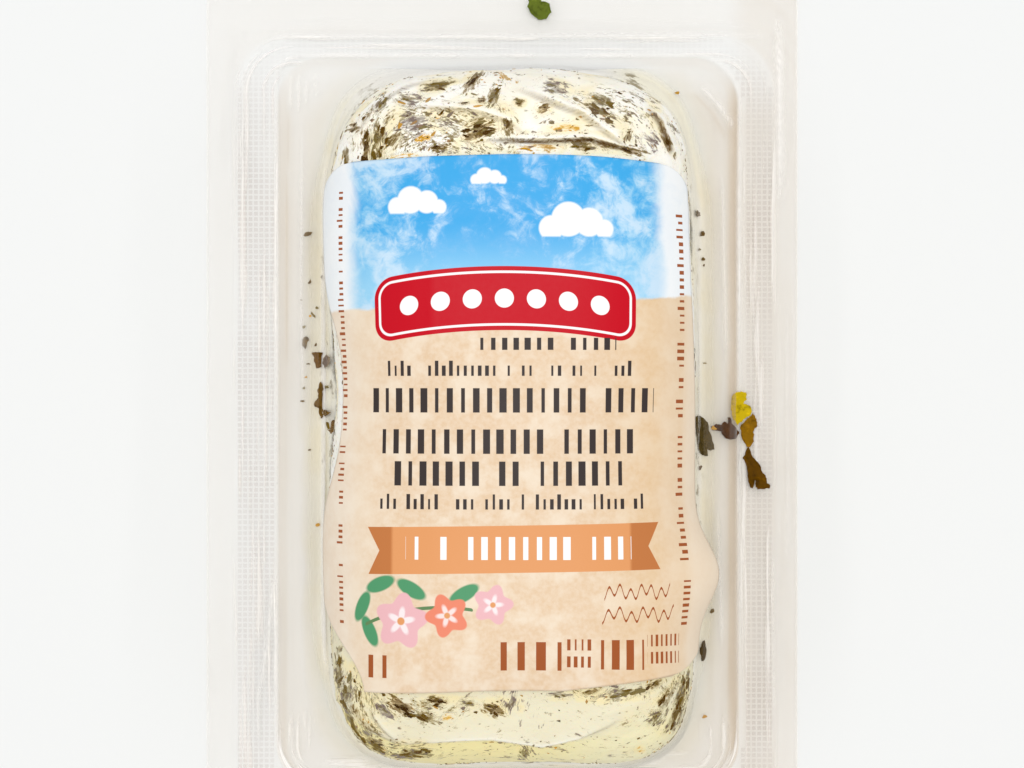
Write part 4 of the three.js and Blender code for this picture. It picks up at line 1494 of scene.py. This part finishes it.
def loose_leaf(name, z, tint, outline):
    x, y = seen_at(*np.array(outline, float).T, z)
    mesh = bpy.data.meshes.new(name)
    shaped = bmesh.new()
    corners = [shaped.verts.new((a * MM, b * MM, z * MM)) for a, b in zip(x, y)]
    face = shaped.faces.new(corners)
    if face.normal.z < 0:
        face.normal_flip()
    bmesh.ops.triangulate(shaped, faces=shaped.faces)
    bmesh.ops.subdivide_edges(shaped, edges=shaped.edges, cuts=3, use_grid_fill=True)
    bmesh.ops.triangulate(shaped, faces=shaped.faces)
    for vertex in shaped.verts:
        place = vertex.co / MM
        ripple = LEAF_RIPPLE * MM
        vertex.co.z = lying_level(place.x, place.y, z) * MM + ripple * noise.noise(place * 0.9)
        if vertex.is_boundary:
            vertex.co.x += ripple * noise.noise(place * 3.1)
            vertex.co.y += ripple * noise.noise(place * 3.1 + Vector((7, 3, 1)))
    shaped.normal_update()
    shaped.to_mesh(mesh)
    shaped.free()
    piece = new_piece(name, mesh, leaf_finish(name, tint))
    solid = piece.modifiers.new("thickness", "SOLIDIFY")
    solid.thickness = LEAF_THICKNESS * MM
    solid.offset = 0
    return piece


for leaf_name, facts in LOOSE_LEAVES.items():
    leaf = loose_leaf(leaf_name, *facts)
    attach(leaf, "root")
print("loose leaves", len(LOOSE_LEAVES))

# %% Specks in the moat
# Place in the picture, size in pixels, turn in degrees and tone.
SPECKS = [
    (308, 234, 8, 20, 0.3), (310, 282, 5, 70, 0.25), (322, 277, 4, 80, 0.45),
    (313, 315, 7, -60, 0.5), (317, 308, 4, 0, 0.5), (310, 316, 3, 40, 0.9),
    (304, 327, 5, 30, 0.6), (308, 364, 4, 0, 0.3), (304, 388, 4, 60, 0.6), (303, 401, 5, 0, 0.3),
    (328, 387, 7, 10, 0.55), (310, 450, 4, 0, 0.2), (318, 525, 5, 30, 0.88),
    (327, 362, 12, 75, 0.72), (330, 424, 9, -60, 0.4), (697, 215, 8, 80, 0.3),
    (702, 234, 7, 50, 0.25), (703, 259, 6, 10, 0.3), (704, 265, 4, 70, 0.2),
    (677, 93, 6, 20, 0.88), (705, 363, 4, 0, 0.4), (712, 611, 6, 80, 0.3),
    (704, 717, 7, 20, 0.85), (700, 468, 5, 60, 0.2), (714, 428, 7, -20, 0.88),
    (699, 250, 4, 0, 0.5), (301, 300, 3, 0, 0.5), (316, 345, 4, 60, 0.2), (306, 377, 3, 0, 0.9),
]
SPECK_LEVEL = 1.75


def moat_specks(seed=31):
    dice = np.random.default_rng(seed)
    for px, py, size, turn, tone in SPECKS:
        flat, shape, lift, edge = flake_shape(7, dice.uniform(0.45, 0.8), dice)
        local_x, local_y = flat.T * size * PICTURE["pixel"]
        x, y = rotated(local_x, local_y, turn, *seen_at(px, py, SPECK_LEVEL))
        placed = np.stack([x, y, lying_level(x, y, SPECK_LEVEL) + 0.05 * lift], 1)
        yield placed, shape, tone, edge


specks = new_piece("moat_specks", joined("moat_specks", moat_specks()), leaf_green)
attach(specks, "root")
print("specks", len(SPECKS))

# %% [markdown]
# ## Paper label
# The label is satin paper that follows the dome. Its print is drawn on the flat sheet: a UV map
# holds each point's distance from the middle of the sheet, measured along the paper, and the
# finish builds the print from fields of colour and simple shapes on those measures.

# %% Label sheet
LABEL = dict(top=33.0, bottom=-37.7, left=-23.7, right=25.4, corner=4.0)
SHEET_SPAN = 100.0
PAPER_THICKNESS = 0.14


def label_edges(y):
    r = LABEL["corner"]
    from_end = np.minimum(LABEL["top"] - y, y - LABEL["bottom"])
    rounded = r - np.sqrt(np.maximum(r * r - np.maximum(r - from_end, 0) ** 2, 0))
    tuck = 1.7 * np.exp(-(((y - 0.5) / 12) ** 4))
    folded = 5.2 * (1 - smooth(LABEL["bottom"], -26, y))
    left = LABEL["left"] + tuck + folded + rounded * smooth(-30, -20, y)
    return left, LABEL["right"] - rounded + 0.9 * smooth(10, -18, y)


def label_grid(rows=150, columns=110):
    ease = np.linspace(0, 1, rows)
    ease = 0.6 * ease + 0.4 * (0.5 - 0.5 * np.cos(math.pi * ease))
    y_row = LABEL["bottom"] + (LABEL["top"] - LABEL["bottom"]) * ease
    left, right = label_edges(y_row)
    across = np.linspace(-1, 1, columns)
    across = 0.35 * across + 0.65 * np.sin(across * math.pi / 2)
    x = left[:, None] + (right - left)[:, None] * (0.5 + 0.5 * across[None, :])
    y = np.broadcast_to(y_row[:, None], x.shape)
    arch = -0.035 * np.maximum(abs(x - BLOCK["x"]) - 12, 0) * smooth(10, 33, y)
    lift = 0.16 * np.maximum(x - 8, 0) * (1 - smooth(LABEL["bottom"], -30, y))
    y = y + arch + lift
    z = dome_height(plan_share(x, y, LABEL_GROWS), LABEL_GROWS)
    return np.stack([x, y, z], axis=-1)


def paper_label():
    flat = label_grid()
    points = ear(settle(flat), EAR["label"])
    crease_x = seen_at(432, 400, BLOCK["top"])[0]
    crease = np.exp(-abs(points[..., 0] - crease_x) / 0.5) * smooth(-30, -5, points[..., 1])
    relief = 0.05 * wobble(points, 7.0, 11.0) + 0.1 * crease
    points = push(points, relief, closed=False)
    step = np.linalg.norm(np.diff(points, axis=1), axis=-1)
    along = np.concatenate([np.zeros((len(points), 1)), np.cumsum(step, axis=1)], axis=1)
    middle = np.array([np.interp(BLOCK["x"], row[:, 0], run) for row, run in zip(points, along)])
    sheet_x = along - middle[:, None]
    mesh = plain_mesh("label_sheet", points, grid_faces(*points.shape[:2], False))
    layer = mesh.uv_layers.new(name="sheet")
    u = (sheet_x.ravel() / SHEET_SPAN) + 0.5
    v = (flat[..., 1].ravel() / SHEET_SPAN) + 0.5
    corner = np.empty(len(mesh.loops), np.int32)
    mesh.loops.foreach_get("vertex_index", corner)
    layer.data.foreach_set("uv", np.stack([u[corner], v[corner]], 1).ravel())
    print("sheet width", sheet_x.min().round(1), sheet_x.max().round(1))
    return smoothed(mesh)


# %% [markdown]
# ## Print
# A shape is a signed distance: below 0 inside. Rows of small blocks stand where the real label
# has lines of words, so that it reads as a printed label and says nothing. A word gap falls
# where a seeded dice says.

# %% Shapes for the print
INK = dict(
    sky=(150, 205, 235), sky_pale=(196, 220, 238), sky_deep=(10, 156, 222),
    kraft=(228, 206, 180), kraft_pale=(234, 219, 198), kraft_dark=(219, 190, 156),
    kraft_shaded=(222, 188, 140), orange=(220, 152, 98), orange_dark=(180, 106, 53),
    red=(193, 4, 28), charcoal=(58, 50, 48), brown=(157, 83, 41), white=(243, 243, 242),
    pink=(228, 178, 182), coral=(228, 132, 104), leaf=(80, 148, 104), stem=(96, 130, 86),
)


class Print:
    """The label's sheet in a graph: measures in millimetres, and shapes on them."""

    def __init__(self, graph):
        self.g = graph
        self.sheet = graph.node("ShaderNodeUVMap", uv_map="sheet")
        u, v, _ = graph.split(self.sheet)
        self.x = (u - 0.5) * SHEET_SPAN
        self.y = (v - 0.5) * SHEET_SPAN

    def box(self, x, y, width, height, corner=0.3, turned=0.0, bend=0.0):
        g = self.g
        across, up = self.turned(x, y, turned)
        up = up + bend * across * across if bend else up
        u = g.most(abs(across) - (width / 2 - corner), 0.0)
        v = g.most(abs(up) - (height / 2 - corner), 0.0)
        return g.length(u, v) - corner

    def turned(self, x, y, degrees):
        u, v = self.x - x, self.y - y
        if not degrees:
            return u, v
        c, s = math.cos(math.radians(degrees)), math.sin(math.radians(degrees))
        return u * c + v * s, v * c - u * s

    def oval(self, x, y, length, width, turned=0.0):
        u, v = self.turned(x, y, turned)
        u, v = u / (length / 2), v / (width / 2)
        return (self.g.length(u, v) - 1.0) * (min(length, width) / 2)

    def flower(self, x, y, size, petals, turned):
        u, v = self.turned(x, y, turned)
        angle = self.g.math("ARCTAN2", v, u)
        scallop = self.g.math("COSINE", angle * petals) * (0.09 * size)
        return self.g.length(u, v) - size / 2 - scallop

    def swallowtail(self, x, y, width, height, notch, turned):
        u, v = self.turned(x, y, turned)
        cut = notch * (1.0 - abs(v) / (height / 2))
        return self.g.most(abs(v) - height / 2, abs(u) - width / 2 + cut)

    def lot(self, wire):
        """A number from 0 to 1 that a dice seeded by the wire gives."""
        kind = "ShaderNodeTexWhiteNoise"
        return self.g.node(kind, W=wire, out="Value", noise_dimensions="1D")

    def words(self, x, y, width, height, pitch, seed, upright=True, small=0.0, gaps=0.16):
        """A row of blocks with word gaps. small is how often a block is a low one."""
        g = self.g
        run, up = (self.x - x, self.y - y) if upright else (self.y - y, x - self.x)
        cell = g.math("FLOOR", run / pitch)
        part = run / pitch - cell
        lot = self.lot(cell + seed * 37.7)
        tall = height / 2 * (1.0 - 0.32 * g.math("LESS_THAN", lot, gaps + small * (1 - gaps)))
        wide = 0.13 + 0.15 * self.lot(cell * 1.7 + seed)
        fill = g.inside(abs(part - 0.5) * pitch - pitch * wide)
        fill = fill * g.inside(abs(up + (height / 2 - tall)) - tall)
        fill = fill * g.math("GREATER_THAN", lot, gaps)
        return fill * g.inside(abs(run) - width / 2)

    def squiggle(self, x, y, width, swing, thick, waves):
        u, v = self.x - x, self.y - y
        wave = self.g.math("SINE", u * waves) * swing
        wave = wave + self.g.math("SINE", u * waves * 0.37) * (swing * 0.5)
        return self.g.most(abs(v - wave) - thick / 2, abs(u) - width / 2)


# %% Label finish
# Middle, width, height, pitch, seed and ink of a row of blocks, and what sets the row apart.
WORD_ROWS = [
    (4.4, 8.2, 19.0, 1.6, 1.5, 3, "charcoal", {}),
    (-0.8, 5.0, 34.0, 2.0, 0.95, 1, "charcoal", dict(small=0.7)),
    (-0.2, 0.8, 39.5, 3.2, 1.75, 2, "charcoal", {}),
    (-0.6, -4.6, 35.2, 3.2, 1.75, 5, "charcoal", {}),
    (-0.3, -8.8, 34.2, 3.2, 1.75, 8, "charcoal", {}),
    (0.1, -12.5, 36.2, 2.0, 0.95, 7, "charcoal", dict(small=0.7)),
    (1.0, -18.6, 30.0, 3.0, 1.8, 11, "white", {}),
    (2.6, -32.9, 8.0, 3.9, 2.6, 3, "brown", dict(gaps=0.0)),
    (8.9, -31.3, 3.4, 1.5, 0.9, 4, "brown", dict(gaps=0.0)),
    (8.9, -33.6, 3.4, 1.5, 0.9, 5, "brown", dict(gaps=0.0)),
    (14.8, -32.6, 6.0, 3.9, 2.0, 6, "brown", dict(gaps=0.0)),
    (21.0, -30.8, 5.4, 1.5, 0.8, 7, "brown", dict(gaps=0.0)),
    (21.0, -33.0, 5.4, 1.5, 0.8, 9, "brown", dict(gaps=0.0)),
    (-18.0, -34.2, 4.4, 3.0, 2.1, 12, "brown", dict(gaps=0.0)),
    (-24.6, -0.5, 58.0, 1.3, 0.75, 14, "brown", dict(upright=False, small=0.7)),
    (24.2, 3.0, 47.0, 1.5, 0.95, 15, "brown", dict(upright=False, small=0.7)),
    (24.6, -26.0, 6.5, 1.2, 0.8, 16, "brown", dict(upright=False, gaps=0.0)),
]
# Middle and size of a cloud, and offset and width of its puffs.
CLOUDS = [(-12.5, 26.2, 1.0), (8.5, 23.4, 1.25), (-3.0, 29.6, 0.6)]
PUFFS = [(-2.6, 0, 2.6), (-0.8, 0.9, 3.6), (1.4, 0.6, 3.0), (3.0, -0.1, 2.0)]
PLAQUE = dict(x=-0.9, y=14.2, width=35.0, height=8.4, corner=2.6, bend=0.006)
BEADS = dict(pitch=4.2, radius=1.25, reach=14.7)
# Middle and turn of a leaf, and middle, size, turn and ink of a flower.
SPRAY_LEAVES = [
    (-20.4, -26.4, 62), (-17.6, -23.4, 20), (-19.2, -29.6, 118), (-13.2, -24.0, 150),
    (-6.2, -24.6, 30),
]
FLOWERS = [
    (-14.6, -28.2, 6.4, 10, "pink"), (-8.4, -27.4, 5.0, 40, "coral"),
    (-2.4, -26.0, 4.6, 75, "pink"),
]


def paper_colour(g, p, ink):
    """Kraft below and sky above, with a pale margin down both sides and painted shade on the
    kraft's right side.
    """
    fibre = g.noise(p.sheet, 130, 5, 0.6)
    blotch = g.noise(p.sheet, 26, 4, 0.55)
    kraft = g.mix(g.step(0.25, 0.75, fibre), ink["kraft_dark"], ink["kraft"])
    kraft = g.mix(g.step(0.42, 0.68, blotch) * 0.75, kraft, ink["kraft_pale"])
    # Painted shade: the kraft darkens and warms towards the right side.
    kraft = g.mix(g.step(8.0, 24.0, p.x) * 0.55, kraft, ink["kraft_shaded"])
    edges = g.most(g.step(24.0, 26.5, p.x), g.step(-14.0, -22.0, p.x))
    kraft = g.mix(edges * 0.5, kraft, ink["kraft_pale"])
    wash = g.noise(p.sheet, 14, 5, 0.6, 0.5)
    streak = g.noise(p.sheet, 45, 6, 0.7, 0.7)
    sky = g.mix(g.step(0.36, 0.58, wash + (streak - 0.5) * 0.3), ink["sky_pale"], ink["sky"])
    middle = 1 - g.step(4.0, 20.0, abs(p.x + 2.0))
    deep = g.step(0.44, 0.62, 0.6 * wash + 0.4 * streak + 0.12 * middle) * g.step(14.0, 25.0, p.y)
    sky = g.mix(deep * 0.85, sky, ink["sky_deep"])
    side = g.most(-22.2 - p.x, p.x - 20.6)
    margin = g.step(-1.6, 1.4, side + 5.0 * (wash - 0.5))
    sky = g.mix(margin * 0.9, sky, ink["white"])
    kraft = g.mix(margin * 0.12, kraft, ink["white"])
    horizon = 13.6 + p.x * 0.035 + (wash - 0.5) * 1.6
    return g.mix(g.step(-0.25, 0.25, p.y - horizon), kraft, sky), fibre


def label_finish():
    g = new_material("label_print")
    p = Print(g)
    ink = {name: paint(*rgb) for name, rgb in INK.items()}
    colour, fibre = paper_colour(g, p, ink)

    def lay(mask, name):
        nonlocal colour
        colour = g.mix(mask, colour, ink[name])

    for x, y, size in CLOUDS:
        puffs = [p.oval(x + dx * size, y + dy * size, d * size, d * size) for dx, dy, d in PUFFS]
        shape = g.most(g.least(*puffs), y - 0.9 * size - p.y)
        lay(g.inside(shape, 0.25) * 0.95, "white")

    plaque = p.box(**PLAQUE)
    lay(g.inside(plaque), "red")
    lay(g.inside(abs(plaque + 0.75) - 0.16), "white")
    across = p.x - PLAQUE["x"]
    bead_x = g.math("WRAP", across, BEADS["pitch"] / 2, -BEADS["pitch"] / 2)
    bead_y = p.y - PLAQUE["y"] + PLAQUE["bend"] * across * across
    bead = g.length(bead_x, bead_y) - BEADS["radius"]
    lay(g.inside(g.most(bead, abs(across) - BEADS["reach"])), "white")

    ribbon = p.swallowtail(0.4, -18.7, 39.6, 6.2, 1.7, turned=0.9)
    lay(g.inside(ribbon), "orange")
    lay(g.inside(ribbon) * g.step(15.6, 16.2, abs(p.x)) * 0.8, "orange_dark")
    for *place, name, apart in WORD_ROWS:
        lay(p.words(*place, **apart), name)
    lay(g.inside(p.squiggle(17.0, -24.4, 9.5, 0.7, 0.35, 4.2)), "brown")
    lay(g.inside(p.squiggle(17.2, -27.4, 10.5, 0.7, 0.35, 3.9)), "brown")

    for x, y, turn in SPRAY_LEAVES:
        lay(g.inside(p.oval(x, y, 4.4, 1.9, turn), 0.2), "leaf")
    lay(g.inside(p.box(-12.6, -26.6, 15.0, 0.45, 0.2, turned=8, bend=0.02)), "stem")
    for x, y, size, turn, name in FLOWERS:
        bloom = p.flower(x, y, size, 5, turn)
        lay(g.inside(bloom, 0.2), name)
        lay(g.inside(bloom + size * 0.3, 0.5) * 0.7, "white")
        lay(g.inside(p.oval(x, y, size * 0.16, size * 0.16), 0.15), "orange")
    return opaque(g, colour, 0.36 + 0.12 * fibre, 0.12, Normal=bump(g, fibre, 0.12, 0.0001))


label = new_piece("label_sheet", paper_label(), label_finish())
backing = label.modifiers.new("paper thickness", "SOLIDIFY")
backing.thickness = PAPER_THICKNESS * MM
backing.offset = -1
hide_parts("paper_label")
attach(label, "root")
print("label", len(label.data.polygons), "faces")

# %% [markdown]
# ## Table, light and camera
# The picture is bright and soft: a white table, one wide soft light overhead, and three thin
# strips at the left, the top and the right that draw the highlights on the film. The camera looks
# straight down.

# %% Table
TABLE_HALF = 3000
corners = [(-1, -1, 0), (1, -1, 0), (1, 1, 0), (-1, 1, 0)]
table = plain_mesh("table", np.array(corners) * TABLE_HALF, [(0, 1, 2, 3)])
g = new_material("table_white")
table_tone = g.mix(g.noise(g.spot(), 3, 2), paint(226, 227, 226), paint(229, 230, 229))
table_piece = new_piece("table", table, opaque(g, table_tone, 0.6))
table_piece.location.z = -0.0001


# %% Lights
def area_light(name, place, size, power):
    light = bpy.data.lights.new(name, "AREA")
    light.shape = "RECTANGLE"
    light.size, light.size_y = size
    light.energy = power
    lamp = bpy.data.objects.new(name, light)
    bpy.context.scene.collection.objects.link(lamp)
    lamp.location = place
    aim = Vector((0, 0, 0.01)) - Vector(place)
    lamp.rotation_euler = aim.to_track_quat("-Z", "Y").to_euler()


area_light("softbox", (0.02, 0.04, 1.6), (0.7, 0.7), 11.6)
area_light("left_strip", (-1.0, 0.0, 1.0), (1.2, 0.05), 1.0)
area_light("top_strip", (0.1, 1.0, 1.0), (1.2, 0.05), 0.9)
area_light("right_strip", (1.0, -0.1, 0.8), (1.0, 0.04), 0.7)
world = bpy.data.worlds.new("studio")
bpy.context.scene.world = world
world.use_nodes = True
g = Graph(world.node_tree)
backdrop = g.node("ShaderNodeBackground", (1, 1, 1, 1), Strength=0.66)
g.node("ShaderNodeOutputWorld", Surface=backdrop)

# %% Camera
SENSOR = 36.0
camera = bpy.data.objects.new("camera", bpy.data.cameras.new("camera"))
bpy.context.scene.collection.objects.link(camera)
camera.location = (PICTURE["x"] * MM, PICTURE["y"] * MM, PICTURE["camera_z"] * MM)
camera.data.sensor_width = SENSOR
camera.data.lens = SENSOR * PICTURE["camera_z"] / (2 * PICTURE["middle_x"] * PICTURE["pixel"])
camera.data.clip_start = 0.01
bpy.context.scene.camera = camera
bpy.context.scene.view_settings.view_transform = "Standard"
print("lens", round(camera.data.lens, 1))
